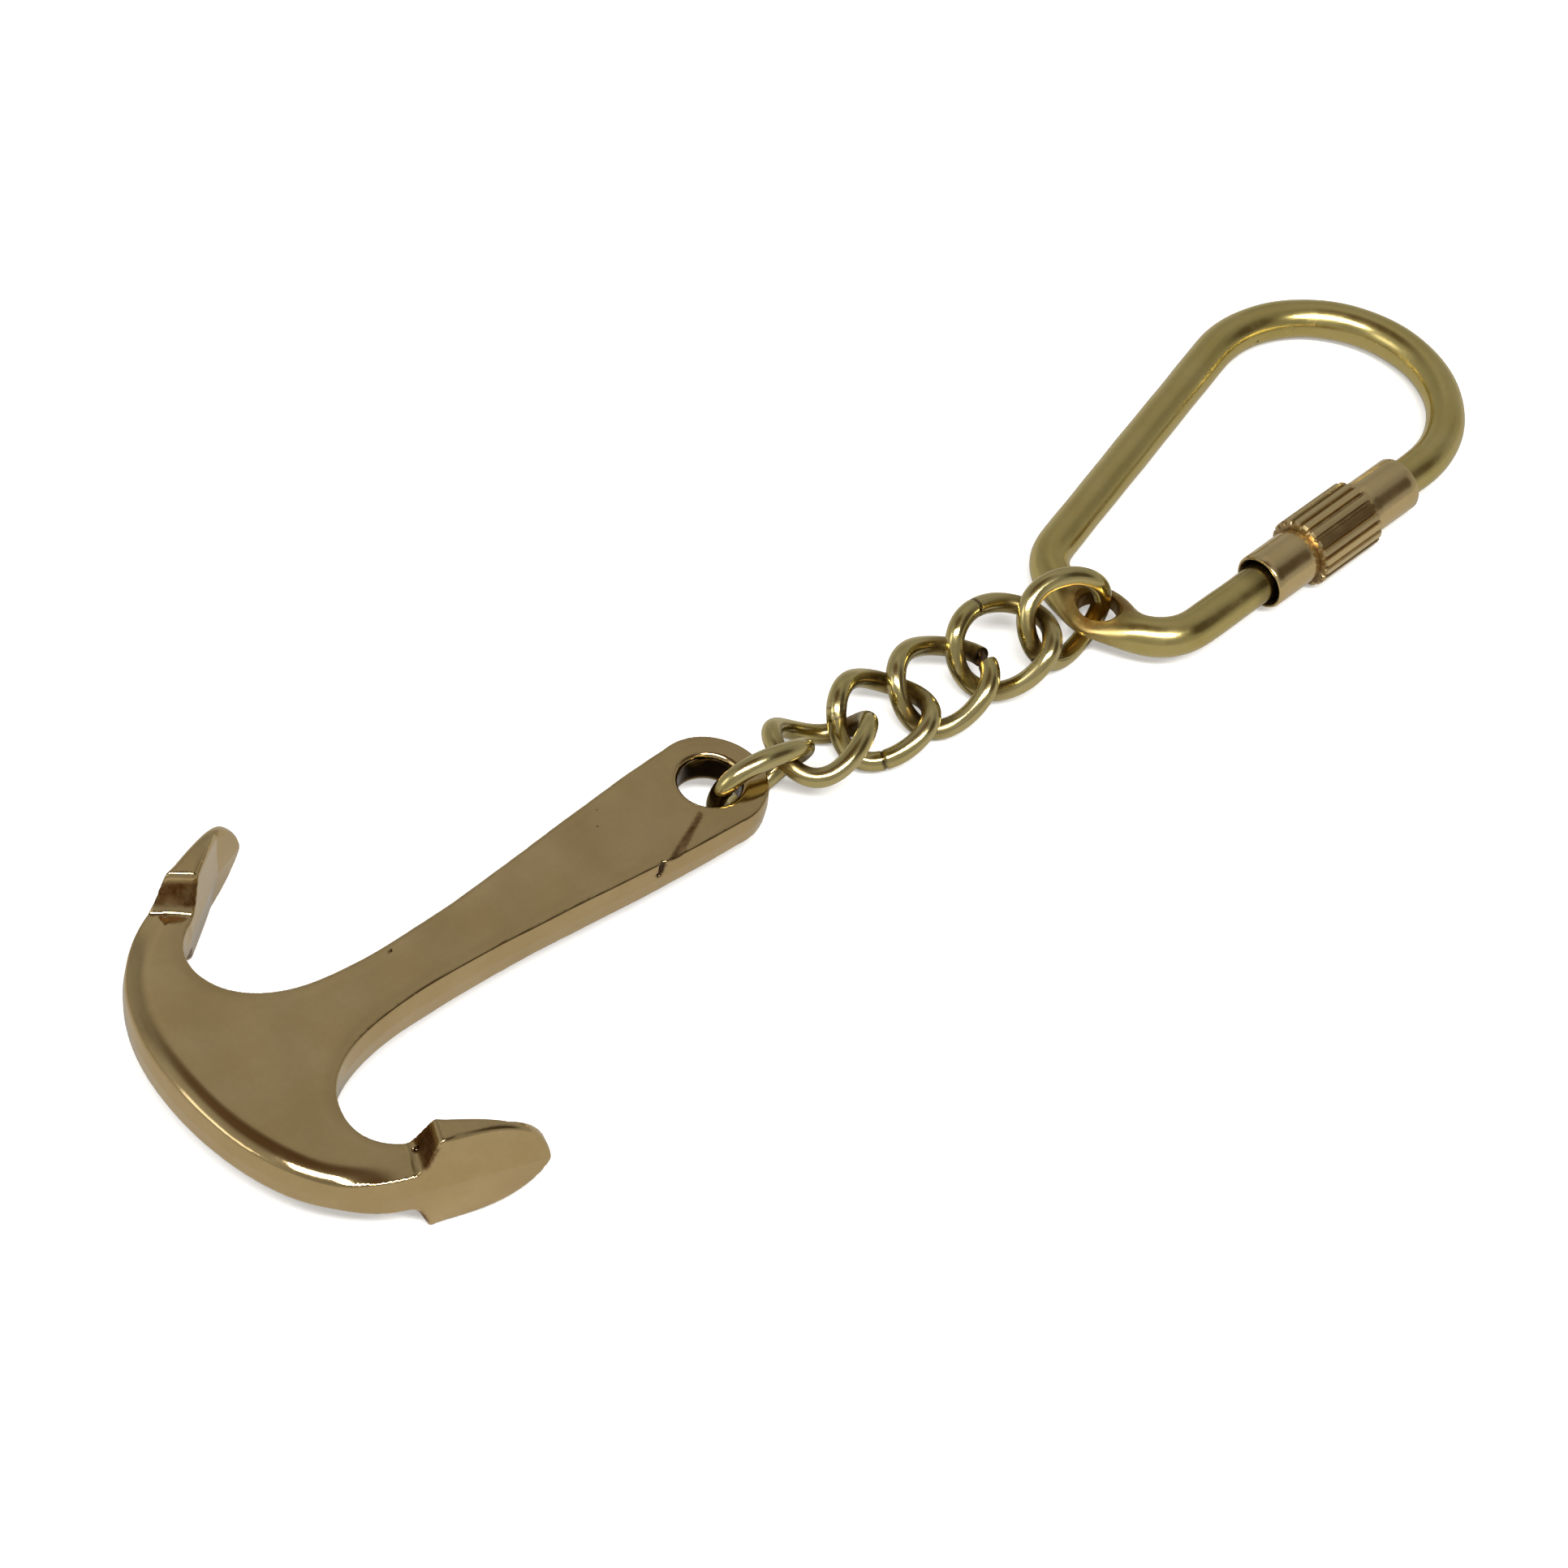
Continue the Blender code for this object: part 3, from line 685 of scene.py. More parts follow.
def close_cut_ends(points, faces, path, sides):
    """Close the two sheared ends of the open link: pinched to a ridge, as cutters leave them."""
    rings = list(points)
    for end, direction in ((0, 1), (len(rings) - 1, -1)):
        centre = path[end]
        outward = normalized(path[end] - path[end + direction])
        ring = rings[end]
        offset = ring - centre
        ridge = normalized(np.cross(outward, LEVEL))
        lean = CUT_LEAN * ((offset @ ridge) / WIRE_RADIUS)[:, None]
        rings[end] = ring + outward * (lean - CUT_BACK)
        for scale, push in CUT_RINGS:
            rings.append(centre + offset * scale + outward * (lean * scale + push - CUT_BACK))
        rings.append(np.array([centre + outward * CUT_TIP]))
    flat = np.concatenate(rings)
    starts = np.cumsum([0] + [len(ring) for ring in rings])
    base = len(points)
    for number, end in enumerate((0, len(points) - 1)):
        first = base + number * (len(CUT_RINGS) + 1)
        order = [end] + [first + k for k in range(len(CUT_RINGS))]
        closing = []
        for a, b in zip(order, order[1:]):
            closing += ring_band(starts[a], starts[b], sides)
        last, tip = starts[order[-1]], starts[first + len(CUT_RINGS)]
        closing += [(last + side, last + (side + 1) % sides, tip) for side in range(sides)]
        faces = faces + (closing if number else [face[::-1] for face in closing])
    return flat, faces


def cut_mask(points, steps, sides):
    """Dark on the sheared faces and a little less on the wire's last rings."""
    mask = np.zeros(len(points))
    mask[steps * sides:] = 1.0
    mask[:sides] = 0.8
    mask[(steps - 1) * sides:steps * sides] = 0.8
    return mask


# ---------- Key loop ----------
def loop_side_point(side, x):
    """The point of a straight side's centre line at x; side is 1 for left and -1 for right."""
    y = (LOOP_TOP_RADIUS + x * math.sin(LOOP_HALF_ANGLE)) / math.cos(LOOP_HALF_ANGLE)
    return np.array((x, side * y, 0.0))


def loop_corner_centre(side):
    x = LOOP_BASE_X + LOOP_CORNER_RADIUS
    inner = LOOP_TOP_RADIUS - LOOP_CORNER_RADIUS + x * math.sin(LOOP_HALF_ANGLE)
    return np.array((x, side * inner / math.cos(LOOP_HALF_ANGLE), 0.0))


def arc(centre, radius, start, end, spacing):
    count = int(abs(end - start) * radius / spacing)
    angle = np.linspace(start, end, count, endpoint=False)
    return centre + radius * np.stack((np.cos(angle), np.sin(angle), 0 * angle), 1)


def sleeve_mouth():
    """The middle of the sleeve's end towards the eye, and the direction of its axis."""
    upper = loop_side_point(-1, SLEEVE_TOP_X)
    along = np.array((math.cos(LOOP_HALF_ANGLE), -math.sin(LOOP_HALF_ANGLE), 0.0))
    return upper - along * SLEEVE_LENGTH, along


def loop_path(spacing):
    """The rod's centre line, from its end inside the sleeve round the loop to the other end."""
    mouth, along = sleeve_mouth()
    lower_end = mouth + along * (SLEEVE_LENGTH - SLEEVE_TOP_OVERLAP - ROD_END_GAP)
    upper_end = mouth + along * (SLEEVE_LENGTH - SLEEVE_TOP_OVERLAP)
    lean = math.pi / 2 + LOOP_HALF_ANGLE
    right, left = loop_corner_centre(-1), loop_corner_centre(1)
    outward = np.array((-math.sin(LOOP_HALF_ANGLE), -math.cos(LOOP_HALF_ANGLE), 0.0)) * LOOP_CORNER_RADIUS
    to_base = np.array((-LOOP_CORNER_RADIUS, 0.0, 0.0))
    top_x = -LOOP_TOP_RADIUS * math.sin(LOOP_HALF_ANGLE)
    parts = [
        straight(lower_end, right + outward, spacing),
        arc(right, LOOP_CORNER_RADIUS, -lean, -math.pi, spacing),
        straight(right + to_base, left + to_base, spacing),
        arc(left, LOOP_CORNER_RADIUS, math.pi, lean, spacing),
        straight(left + outward * (1, -1, 1), loop_side_point(1, top_x), spacing),
        arc(np.zeros(3), LOOP_TOP_RADIUS, lean, -lean, spacing),
        straight(loop_side_point(-1, top_x), upper_end, spacing),
        upper_end[None, :],
    ]
    return np.concatenate(parts)


def smooth_path(path, rounds):
    """Ease the joints between the straights and the bends, with the ends kept."""
    for _ in range(rounds):
        path[1:-1] = path[1:-1] * 0.5 + (path[:-2] + path[2:]) * 0.25
    return path


def loop_turn():
    return np.array(Euler((-LOOP_LEAN, LOOP_RISE, LOOP_HEADING), "XYZ").to_matrix())


def rod_section(path):
    """Half width and half thickness: the rod is hammered flat round the eye."""
    share = np.clip(np.abs(path[:, 1]) / EYE_LENGTH, 0.0, 1.0)
    blend = np.where(path[:, 0] < LOOP_BASE_X + 3.0, 0.5 + 0.5 * np.cos(np.pi * share), 0.0)
    wide = ROD_RADIUS + (EYE_WIDTH / 2 - ROD_RADIUS) * blend
    thick = ROD_RADIUS + (EYE_THICKNESS / 2 - ROD_RADIUS) * blend
    return wide, thick


ROD_SPACING = 0.25
ROD_SIDES = 40
ROD_EASING = 12
# How uneven the bent rod is: height, waves per step, and where each wave starts.
ROD_UNEVEN = ((0.012, 0.11, 0.0), (0.008, 0.31, 1.0))
# The chamfer at the rod's ends, and its length.
ROD_END_CHAMFER = 0.25
ROD_END_LENGTH = 0.5
# The eye's stain: strength, and the distances where it starts to fade and ends.
EYE_STAIN = 0.9
EYE_STAIN_REACH = (1.5, 4.2)
# The dark ring where the sleeve's mouth rubs: strength, distances from the mouth, and reach round the rod.
SCUFF = 0.5
SCUFF_START = (-2.6, -0.6)
SCUFF_END = (0.5, 1.5)
SCUFF_RADIUS = 2.2


def build_key_loop(neighbours, material):
    """Sweep the bent rod, punch its eye, and stain it round the eye and under the sleeve's mouth, with
    painted shade where the last link hangs close.
    """
    spacing, sides = ROD_SPACING, ROD_SIDES
    path = smooth_path(loop_path(spacing), ROD_EASING)
    wide, thick = rod_section(path)
    count = len(path)
    number = np.arange(count)
    uneven = sum(height * np.sin(number * waves + start) for height, waves, start in ROD_UNEVEN)
    end = np.minimum(number, number[::-1]) * spacing
    uneven = uneven - ROD_END_CHAMFER * np.clip(1 - end / ROD_END_LENGTH, 0, 1)
    points, faces, _ = sweep(path, wide + uneven, thick + uneven, sides, False, LEVEL)
    points = points.reshape(-1, 3)
    faces.append(tuple(range(sides))[::-1])
    faces.append(tuple(range((count - 1) * sides, count * sides)))
    placed = points @ loop_turn().T
    shift = centre_on_node(placed, "key_loop")
    placed = placed + shift
    item = new_mesh_object("key_loop_rod", placed, faces)
    cutter = build_eye_cutter(shift)
    modifier = item.modifiers.new("eye", "BOOLEAN")
    modifier.operation = "DIFFERENCE"
    modifier.solver = "EXACT"
    modifier.object = cutter
    bake(item)
    bpy.data.objects.remove(cutter, do_unlink=True)
    item.data.set_sharp_from_angle(angle=math.radians(38))
    verts = vertex_array(item)
    eye = np.array((LOOP_BASE_X, 0.0, 0.0)) @ loop_turn().T + shift
    reach = np.linalg.norm(verts - eye, axis=1)
    round_eye = EYE_STAIN * (1 - smooth_step(*EYE_STAIN_REACH, reach))
    # Stained round the eye; grime with painted shade where the last link hangs close.
    set_attribute(item, "grime_and_shade", np.maximum(round_eye, contact_grime_and_shade(verts, neighbours)))
    mouth, along = sleeve_mouth()
    mouth = mouth @ loop_turn().T + shift
    along = along @ loop_turn().T
    travel = (verts - mouth) @ along
    close = np.linalg.norm(verts - mouth - travel[:, None] * along, axis=1) < SCUFF_RADIUS
    scuff = smooth_step(*SCUFF_START, travel) * (1 - smooth_step(*SCUFF_END, travel)) * close
    set_attribute(item, "marks_and_shade", scuff * SCUFF)
    adopt(item, "key_loop", material)
    return shift


def vertex_array(item):
    values = np.zeros(len(item.data.vertices) * 3, np.float32)
    item.data.vertices.foreach_get("co", values)
    return values.reshape(-1, 3).astype(float) / MM


def bake(item):
    """Replace an object's mesh with what its modifiers make of it."""
    graph = bpy.context.evaluated_depsgraph_get()
    mesh = bpy.data.meshes.new_from_object(item.evaluated_get(graph))
    item.modifiers.clear()
    item.data = mesh
    mesh.shade_smooth()


# The eye's punch: half of its straight part, its flare at twice that height, the most that it flares,
# and its sides.
EYE_LAND = 0.45
EYE_FLARE = 0.26
EYE_FLARE_LIMIT = 0.75
EYE_SIDES = 64


def build_eye_cutter(shift):
    """A round punch whose ends flare, so that the eye's rim comes out rounded."""
    upper = np.concatenate((np.linspace(EYE_LAND, 2 * EYE_LAND, 10), np.linspace(0.95, 3.0, 3)))
    heights = np.concatenate((-upper[::-1], upper))
    flare = np.clip((np.abs(heights) - EYE_LAND) / EYE_LAND, 0, None)
    radii = EYE_HOLE_RADIUS + EYE_FLARE * flare ** 2.2
    radii = np.minimum(radii, EYE_HOLE_RADIUS + EYE_FLARE_LIMIT)
    sides = EYE_SIDES
    angle = 2 * np.pi * np.arange(sides) / sides
    rings = [np.stack((LOOP_BASE_X + r * np.cos(angle), r * np.sin(angle), np.full(sides, z)), 1)
             for r, z in zip(radii, heights)]
    points = np.concatenate(rings) @ loop_turn().T + shift
    faces = []
    for ring in range(len(rings) - 1):
        faces += ring_band(ring * sides, (ring + 1) * sides, sides)
    faces.append(tuple(range(sides))[::-1])
    faces.append(tuple(range((len(rings) - 1) * sides, len(rings) * sides)))
    return new_mesh_object("eye_punch", points, faces)


# ---------- Lock sleeve ----------
FLUTES = 20
FLUTE_SIDES = 18
FLUTE_DEPTH = 0.24
# Where a flute's cut lies within its share of the circle, and how soft its edges are.
FLUTE_CUT = (0.31, 0.69)
FLUTE_EDGE = 0.06
GRIP_CHAMFER = 0.2
GRIP_UNDERCUT = 0.06
THREAD_PITCH = 0.5
THREAD_DEPTH = 0.09
# The rounding at both ends of the sleeve, as (distance from the end, drop of the radius).
SLEEVE_LIP = ((0.0, 0.16), (0.05, 0.06), (0.16, 0.0))


def sleeve_profile():
    """Outer radius along the sleeve as (distance, radius), with chamfers at the steps."""
    chamfer, undercut = GRIP_CHAMFER, GRIP_UNDERCUT
    rows = [(d, COLLAR_RADIUS - drop) for d, drop in SLEEVE_LIP]
    rows += [(d, COLLAR_RADIUS) for d in np.linspace(0.8, GRIP_START - 0.25, 6)]
    rows += [(GRIP_START - 0.12, COLLAR_RADIUS - undercut), (GRIP_START, COLLAR_RADIUS - undercut),
             (GRIP_START + 0.03, GRIP_RADIUS - chamfer), (GRIP_START + chamfer, GRIP_RADIUS)]
    rows += [(d, GRIP_RADIUS) for d in np.linspace(GRIP_START + 0.5, GRIP_END - 0.5, 12)]
    rows += [(GRIP_END - chamfer, GRIP_RADIUS), (GRIP_END - 0.03, GRIP_RADIUS - chamfer),
             (GRIP_END, COLLAR_RADIUS - undercut), (GRIP_END + 0.12, COLLAR_RADIUS - undercut)]
    rows += [(d, COLLAR_RADIUS) for d in np.linspace(GRIP_END + 0.25, SLEEVE_LENGTH - 0.8, 6)]
    rows += [(SLEEVE_LENGTH - d, COLLAR_RADIUS - drop) for d, drop in reversed(SLEEVE_LIP)]
    return np.array(rows)


def build_lock_sleeve(loop_shift, material):
    """Turn the sleeve as rings: outside with its flutes, inside with its thread, and both lips."""
    sides = FLUTES * FLUTE_SIDES
    angle = 2 * np.pi * np.arange(sides) / sides
    phase = (np.arange(sides) % FLUTE_SIDES) / FLUTE_SIDES
    rise, fall = FLUTE_CUT
    groove = smooth_step(rise, rise + FLUTE_EDGE, phase) * (1 - smooth_step(fall - FLUTE_EDGE, fall, phase))
    rows = sleeve_profile()
    outer = []
    grime_and_shade = []
    for distance, radius in rows:
        cut = smooth_step(COLLAR_RADIUS + 0.12, COLLAR_RADIUS + 0.3, radius)
        ring = radius - FLUTE_DEPTH * cut * groove * min(1.0, max(0.0, radius - COLLAR_RADIUS) / 0.4)
        outer.append((distance, np.broadcast_to(ring, (sides,)).copy()))
        # Painted shade at the grip's steps, and darker in the flutes' grooves.
        step_shade = math.exp(-(min(abs(distance - GRIP_START), abs(distance - GRIP_END)) / 0.10) ** 2)
        low_step = 0.85 if radius < COLLAR_RADIUS + 0.1 else 0.6
        grime_and_shade.append(np.maximum(0.6 * groove * cut, low_step * step_shade))
    inner = []
    for distance in np.arange(SLEEVE_LENGTH - 0.12, 0.1, -THREAD_PITCH / 4):
        ridge = 0.5 + 0.5 * np.cos(2 * np.pi * distance / THREAD_PITCH - angle)
        inner.append((distance, SLEEVE_BORE_RADIUS - 0.02 + THREAD_DEPTH * ridge))
        # Painted shade in the threaded bore.
        grime_and_shade.append(np.full(sides, 0.95))
    lip = [(SLEEVE_LENGTH - 0.02, np.full(sides, SLEEVE_BORE_RADIUS + 0.10))]
    mouth_lip = [(0.02, np.full(sides, SLEEVE_BORE_RADIUS + 0.09))]
    rings = outer + lip + inner + mouth_lip
    # Darker on both lips.
    grime_and_shade.insert(len(outer), np.full(sides, 0.4))
    grime_and_shade.append(np.full(sides, 0.5))
    points = np.concatenate([
        np.stack((np.full(sides, d), r * np.cos(angle), r * np.sin(angle)), 1) for d, r in rings])
    faces = []
    for ring in range(len(rings)):
        band = ring_band(ring * sides, (ring + 1) % len(rings) * sides, sides)
        faces += [(a, d, c, b) for a, b, c, d in band]
    mouth, _ = sleeve_mouth()
    turn = np.array(Matrix.Rotation(-LOOP_HALF_ANGLE, 3, "Z"))
    placed = (points @ turn.T + mouth) @ loop_turn().T + loop_shift
    item = new_mesh_object("lock_sleeve_turning", placed, faces)
    item.data.set_sharp_from_angle(angle=math.radians(32))
    set_attribute(item, "grime_and_shade", np.concatenate(grime_and_shade))
    set_attribute(item, "marks_and_shade", np.zeros(len(placed)))
    adopt(item, "lock_sleeve", material)


# ---------- Materials ----------
class Graph:
    """A short way to add shader nodes."""

    def __init__(self, material):
        material.use_nodes = True
        self.tree = material.node_tree
        self.tree.nodes.clear()

    def add(self, kind, values=None, **settings):
        """Add a node, with its settings first, then its inputs as links or plain values."""
        node = self.tree.nodes.new(kind)
        for key, value in settings.items():
            setattr(node, key, value)
        for key, value in (values or {}).items():
            if isinstance(value, bpy.types.NodeSocket):
                self.tree.links.new(value, node.inputs[key])
            else:
                node.inputs[key].default_value = value
        return node

    def mix(self, factor, first, second, blend="MIX"):
        """Mix two colours: inputs 0, 6 and 7 are the factor and the colours, output 2 the result."""
        values = {0: factor, 6: first, 7: second}
        return self.add("ShaderNodeMix", values, data_type="RGBA", blend_type=blend).outputs[2]

    def grey_times(self, tone, grey):
        """Multiply a colour by a plain value."""
        colour = self.add("ShaderNodeCombineColor", {"Red": grey, "Green": grey, "Blue": grey})
        return self.mix(1.0, tone, colour.outputs[0], "MULTIPLY")

    def math(self, operation, first, second=0.0, clamp=False):
        return self.add("ShaderNodeMath", {0: first, 1: second}, operation=operation,
                        use_clamp=clamp).outputs[0]

    def spread(self, value, low, high, to_low=0.0, to_high=1.0):
        node = self.add("ShaderNodeMapRange", {"Value": value, "From Min": low, "From Max": high,
                                               "To Min": to_low, "To Max": to_high}, clamp=True)
        return node.outputs[0]

    def noise(self, vector, scale, detail=3.0, rough=0.5):
        return self.add("ShaderNodeTexNoise", {"Vector": vector, "Scale": scale, "Detail": detail,
                                               "Roughness": rough}).outputs["Fac"]


def rgba(red, green, blue):
    return (red, green, blue, 1.0)


# Near black for seams, cut ends, file marks and pits, and painted shade on the anchor's bore.
MARKS_AND_SHADE_COLOUR = rgba(0.045, 0.022, 0.016)
SPECK_COLOUR = rgba(0.05, 0.03, 0.02)
# Scales of the noises, in waves per metre: colour drift, fine grain, specks and where they are, clouds of
# grime and painted shade, drawn lines, smears, and the slow ripple of the surface.
DRIFT_SCALE = 260.0
GRAIN_SCALE = 2600.0
SPECK_SCALE = 420.0
SPECK_PLACE_SCALE = 170.0
GRIME_AND_SHADE_SCALE = 900.0
LINE_SCALE = 900.0
SMEAR_SCALE = 500.0
RIPPLE_SCALE = 330.0
# Depths of the bumps, in metres.
LINE_DEPTH = 0.00002
RIPPLE_DEPTH = 0.00006
SPECK_DEPTH = 0.00005


def brass_material(name, colour, warm, grime_and_shade_colour, roughness, scratch_stretch, scratch):
    """Polished brass: colour drift, fine polishing lines, specks, and grime and painted shade where each
    piece puts them.
    """
    material = bpy.data.materials.new(name)
    graph = Graph(material)
    place = graph.add("ShaderNodeTexCoord").outputs["Object"]
    stretched = graph.add("ShaderNodeMapping", {"Vector": place, "Scale": scratch_stretch}).outputs[0]
    drift = graph.noise(place, DRIFT_SCALE, 3.0)
    tone = graph.mix(graph.spread(drift, 0.35, 0.7), rgba(*colour), rgba(*warm))
    fine = graph.noise(place, GRAIN_SCALE, 4.0, 0.6)
    tone = graph.mix(graph.spread(fine, 0.3, 0.75, 0.0, 0.16), tone, rgba(*[c * 0.72 for c in colour]))
    specks = graph.add("ShaderNodeTexVoronoi", {"Vector": place, "Scale": SPECK_SCALE}).outputs["Distance"]
    speck_mask = graph.spread(specks, 0.035, 0.055, 1.0, 0.0)
    rare = graph.spread(graph.noise(place, SPECK_PLACE_SCALE, 1.0), 0.60, 0.66)
    speck_mask = graph.math("MULTIPLY", speck_mask, rare)
    grime_and_shade = graph.add("ShaderNodeAttribute", attribute_name="grime_and_shade").outputs["Fac"]
    marks_and_shade = graph.add("ShaderNodeAttribute", attribute_name="marks_and_shade").outputs["Fac"]
    cloud = graph.spread(graph.noise(place, GRIME_AND_SHADE_SCALE, 4.0, 0.65), 0.3, 0.7, 0.55, 1.2)
    # Grime and painted shade, mixed in the grime colour.
    grime_and_shade_share = graph.math("MULTIPLY", grime_and_shade, cloud, clamp=True)
    tone = graph.mix(grime_and_shade_share, tone, rgba(*grime_and_shade_colour))
    # Dark marks, and painted shade on the anchor's bore.
    tone = graph.mix(graph.math("MULTIPLY", marks_and_shade, 0.92), tone, MARKS_AND_SHADE_COLOUR)
    tone = graph.mix(speck_mask, tone, SPECK_COLOUR)
    lines = graph.noise(stretched, LINE_SCALE, 5.0, 0.7)
    smear = graph.noise(place, SMEAR_SCALE, 4.0, 0.6)
    rough = graph.spread(smear, 0.3, 0.72, roughness * 0.75, roughness * 1.45)
    rough = graph.math("ADD", rough, graph.math("MULTIPLY", grime_and_shade_share, 0.22))
    rough = graph.math("ADD", rough, graph.math("MULTIPLY", speck_mask, 0.3), clamp=True)
    lined = graph.add("ShaderNodeBump", {
        "Height": lines, "Strength": scratch, "Distance": LINE_DEPTH}).outputs[0]
    rippled = graph.add("ShaderNodeBump", {
        "Height": graph.noise(place, RIPPLE_SCALE, 2.0), "Strength": 0.25, "Distance": RIPPLE_DEPTH,
        "Normal": lined}).outputs[0]
    pitted = graph.add("ShaderNodeBump", {
        "Height": graph.math("SUBTRACT", 1.0, speck_mask), "Strength": 0.6, "Distance": SPECK_DEPTH,
        "Normal": rippled}).outputs[0]
    shader = graph.add("ShaderNodeBsdfPrincipled", {
        "Base Color": tone, "Metallic": 1.0, "Roughness": rough, "Normal": pitted})
    output = graph.add("ShaderNodeOutputMaterial")
    graph.tree.links.new(shader.outputs[0], output.inputs[0])
    return material


# ---------- Floor, light and camera ----------
FLOOR_HALF_SIZE = 1.2
# How far the paper lies below the lowest point of the pieces, in metres.
FLOOR_GAP = 0.00002
FLOOR_SEEN = rgba(0.95, 0.95, 0.95)
FLOOR_MIRRORED = rgba(0.39, 0.382, 0.363)
FLOOR_GLOW = 0.3


def build_floor():
    """A pale sheet that the camera sees near white and that the metal sees as a mid grey."""
    size = FLOOR_HALF_SIZE
    corners = [(-size, -size, 0), (size, -size, 0), (size, size, 0), (-size, size, 0)]
    mesh = bpy.data.meshes.new("floor_sheet")
    mesh.from_pydata(corners, [], [(0, 1, 2, 3)])
    floor = bpy.data.objects.new("floor_sheet", mesh)
    floor.location.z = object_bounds()[0][2] - FLOOR_GAP
    bpy.context.scene.collection.objects.link(floor)
    material = bpy.data.materials.new("floor_paper")
    graph = Graph(material)
    seen = graph.add("ShaderNodeLightPath").outputs["Is Camera Ray"]
    place = graph.add("ShaderNodeTexCoord").outputs["Object"]
    grain = graph.spread(graph.noise(place, 60.0, 3.0), 0.3, 0.7, 0.97, 1.0)
    tone = graph.grey_times(graph.mix(seen, FLOOR_MIRRORED, FLOOR_SEEN), grain)
    shader = graph.add("ShaderNodeBsdfDiffuse", {"Color": tone})
    glow = graph.add("ShaderNodeEmission", {
        "Color": rgba(1, 1, 1), "Strength": graph.math("MULTIPLY", seen, FLOOR_GLOW)})
    both = graph.add("ShaderNodeAddShader")
    graph.tree.links.new(shader.outputs[0], both.inputs[0])
    graph.tree.links.new(glow.outputs[0], both.inputs[1])
    output = graph.add("ShaderNodeOutputMaterial")
    graph.tree.links.new(both.outputs[0], output.inputs[0])
    mesh.materials.append(material)


PANELS = (
    # name, place in metres, direction of the long side, size in metres, watts, colour
    ("window_strip", (-0.29, -0.31, 0.79), (0.45, -0.42, -0.06), (0.76, 0.15), 11.5, (1.0, 0.99, 0.97)),
    ("left_card", (-0.75, 0.25, 0.45), (0, 1, 0), (0.35, 0.3), 0.5, (1.0, 1.0, 1.0)),
)


def add_panel(name, place, along, size, watts, colour):
    """A soft rectangular light that faces the origin, its long side along a direction."""
    data = bpy.data.lights.new(name, "AREA")
    data.shape = "RECTANGLE"
    data.size, data.size_y = size
    data.energy = watts
    data.color = colour
    lamp = bpy.data.objects.new(name, data)
    back = Vector(place).normalized()
    across = back.cross(Vector(along)).normalized()
    turn = Matrix((across.cross(back), across, back)).transposed().to_4x4()
    lamp.matrix_world = Matrix.Translation(place) @ turn
    bpy.context.scene.collection.objects.link(lamp)


ROOM_LOW = rgba(0.42, 0.41, 0.39)
ROOM_HIGH = rgba(0.27, 0.262, 0.25)
ROOM_PATCHES = (
    # direction, angles where it fades from full to nothing, colour
    ((0.50, 0.41, 0.77), (10.0, 38.0), (0.41, 0.395, 0.375)),
    ((-0.12, 0.22, 0.96), (8.0, 30.0), (0.13, 0.088, 0.055)),
    ((-0.80, 0.35, 0.45), (12.0, 40.0), (0.46, 0.45, 0.43)),
    ((0.50, -0.62, 0.60), (12.0, 28.0), (0.09, 0.07, 0.05)),
)


def build_world():
    """A grey room with a dark ceiling, a paler far wall and a dark side for the metal to mirror."""
    world = bpy.data.worlds.new("soft_room")
    bpy.context.scene.world = world
    graph = Graph(world)
    direction = graph.add("ShaderNodeTexCoord").outputs["Generated"]
    height = graph.add("ShaderNodeSeparateXYZ", {"Vector": direction}).outputs["Z"]
    tone = graph.mix(graph.spread(height, 0.0, 0.7), ROOM_LOW, ROOM_HIGH)
    for toward, (full, none), colour in ROOM_PATCHES:
        match = graph.add("ShaderNodeVectorMath", {0: direction, 1: Vector(toward).normalized()},
                          operation="DOT_PRODUCT").outputs["Value"]
        share = graph.add("ShaderNodeMapRange", {
            "Value": match, "From Min": math.cos(math.radians(none)),
            "From Max": math.cos(math.radians(full))}, interpolation_type="SMOOTHSTEP").outputs[0]
        tone = graph.mix(share, tone, rgba(*colour))
    cloud = graph.spread(graph.noise(direction, 2.3, 2.0), 0.3, 0.7, 0.84, 1.16)
    tone = graph.grey_times(tone, cloud)
    background = graph.add("ShaderNodeBackground", {"Color": tone, "Strength": 1.0})
    output = graph.add("ShaderNodeOutputWorld")
    graph.tree.links.new(background.outputs[0], output.inputs[0])


# The photograph's view: from the lower left, 50 degrees above the table, rolled 10 degrees.
CAMERA_BEARING = math.radians(50.68)
CAMERA_ELEVATION = math.radians(50.0)
CAMERA_ROLL = math.radians(10.0)
CAMERA_POSITION = np.array((-196.04, -155.4, 290.65))
SENSOR_WIDTH = 36.0
FOCAL_LENGTH = 121.1


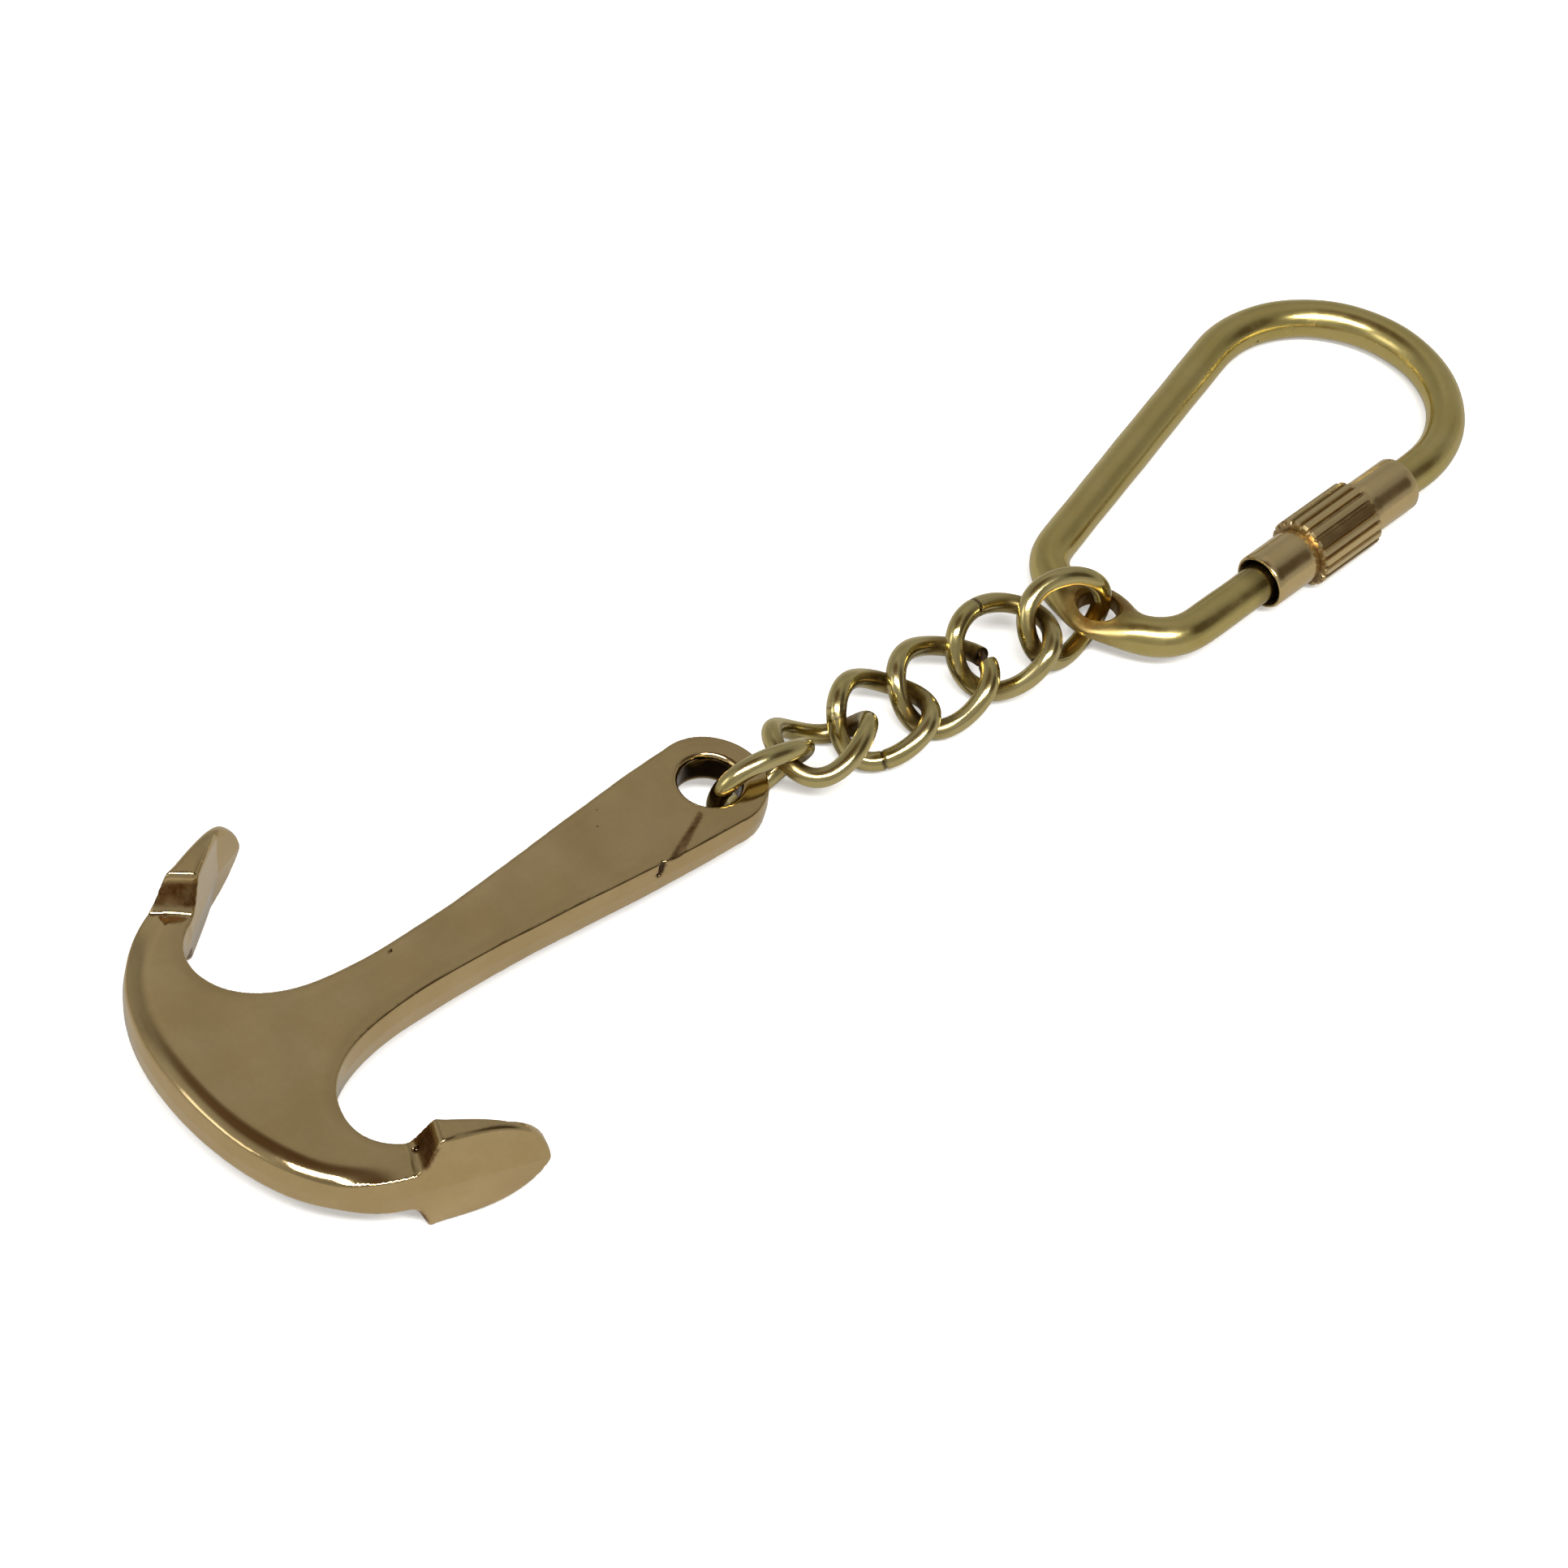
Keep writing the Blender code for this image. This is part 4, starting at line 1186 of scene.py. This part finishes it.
def build_camera():
    """Place the camera at its position, looking down along its bearing, and roll it."""
    right = Vector((math.cos(CAMERA_BEARING), -math.sin(CAMERA_BEARING), 0.0))
    ahead = Vector((math.sin(CAMERA_BEARING), math.cos(CAMERA_BEARING), 0.0))
    up = Vector(LEVEL)
    up_view = up * math.cos(CAMERA_ELEVATION) + ahead * math.sin(CAMERA_ELEVATION)
    back = up * math.sin(CAMERA_ELEVATION) - ahead * math.cos(CAMERA_ELEVATION)
    x_axis = right * math.cos(CAMERA_ROLL) + up_view * math.sin(CAMERA_ROLL)
    y_axis = up_view * math.cos(CAMERA_ROLL) - right * math.sin(CAMERA_ROLL)
    data = bpy.data.cameras.new("photo_camera")
    data.sensor_width = SENSOR_WIDTH
    data.lens = FOCAL_LENGTH
    data.clip_start = 0.01
    data.clip_end = 10.0
    camera = bpy.data.objects.new("photo_camera", data)
    turn = Matrix((x_axis, y_axis, back)).transposed().to_4x4()
    camera.matrix_world = Matrix.Translation(Vector(CAMERA_POSITION * MM)) @ turn
    bpy.context.scene.collection.objects.link(camera)
    bpy.context.scene.camera = camera


# The third colour of each is for grime and painted shade.
ANCHOR_BRASS = brass_material("anchor_polished_casting", (0.545, 0.40, 0.19), (0.60, 0.455, 0.235),
                              (0.13, 0.055, 0.016), 0.085, (1.0, 6.0, 6.0), 0.10)
WIRE_BRASS = brass_material("chain_drawn_wire", (0.58, 0.485, 0.20), (0.65, 0.55, 0.27),
                            (0.15, 0.085, 0.016), 0.15, (8.0, 8.0, 1.0), 0.16)
ROD_BRASS = brass_material("loop_bent_rod", (0.58, 0.47, 0.165), (0.64, 0.53, 0.22),
                           (0.22, 0.10, 0.018), 0.21, (1.0, 9.0, 9.0), 0.22)
SLEEVE_BRASS = brass_material("sleeve_turned", (0.69, 0.535, 0.265), (0.75, 0.58, 0.31),
                              (0.13, 0.055, 0.018), 0.17, (9.0, 1.0, 1.0), 0.16)

build_anchor(ANCHOR_BRASS)
NAMES = list(LINKS)
PATHS = {name: world_centreline(name) for name in NAMES}
for number, name in enumerate(NAMES):
    near = [PATHS[other] for other in NAMES[max(0, number - 1):number + 2] if other != name]
    build_link(name, near, WIRE_BRASS)
LOOP_SHIFT = build_key_loop([PATHS["link_f"]], ROD_BRASS)
build_lock_sleeve(LOOP_SHIFT, SLEEVE_BRASS)

build_floor()
build_world()
for panel in PANELS:
    add_panel(*panel)
build_camera()
bpy.context.scene.view_settings.view_transform = "Standard"
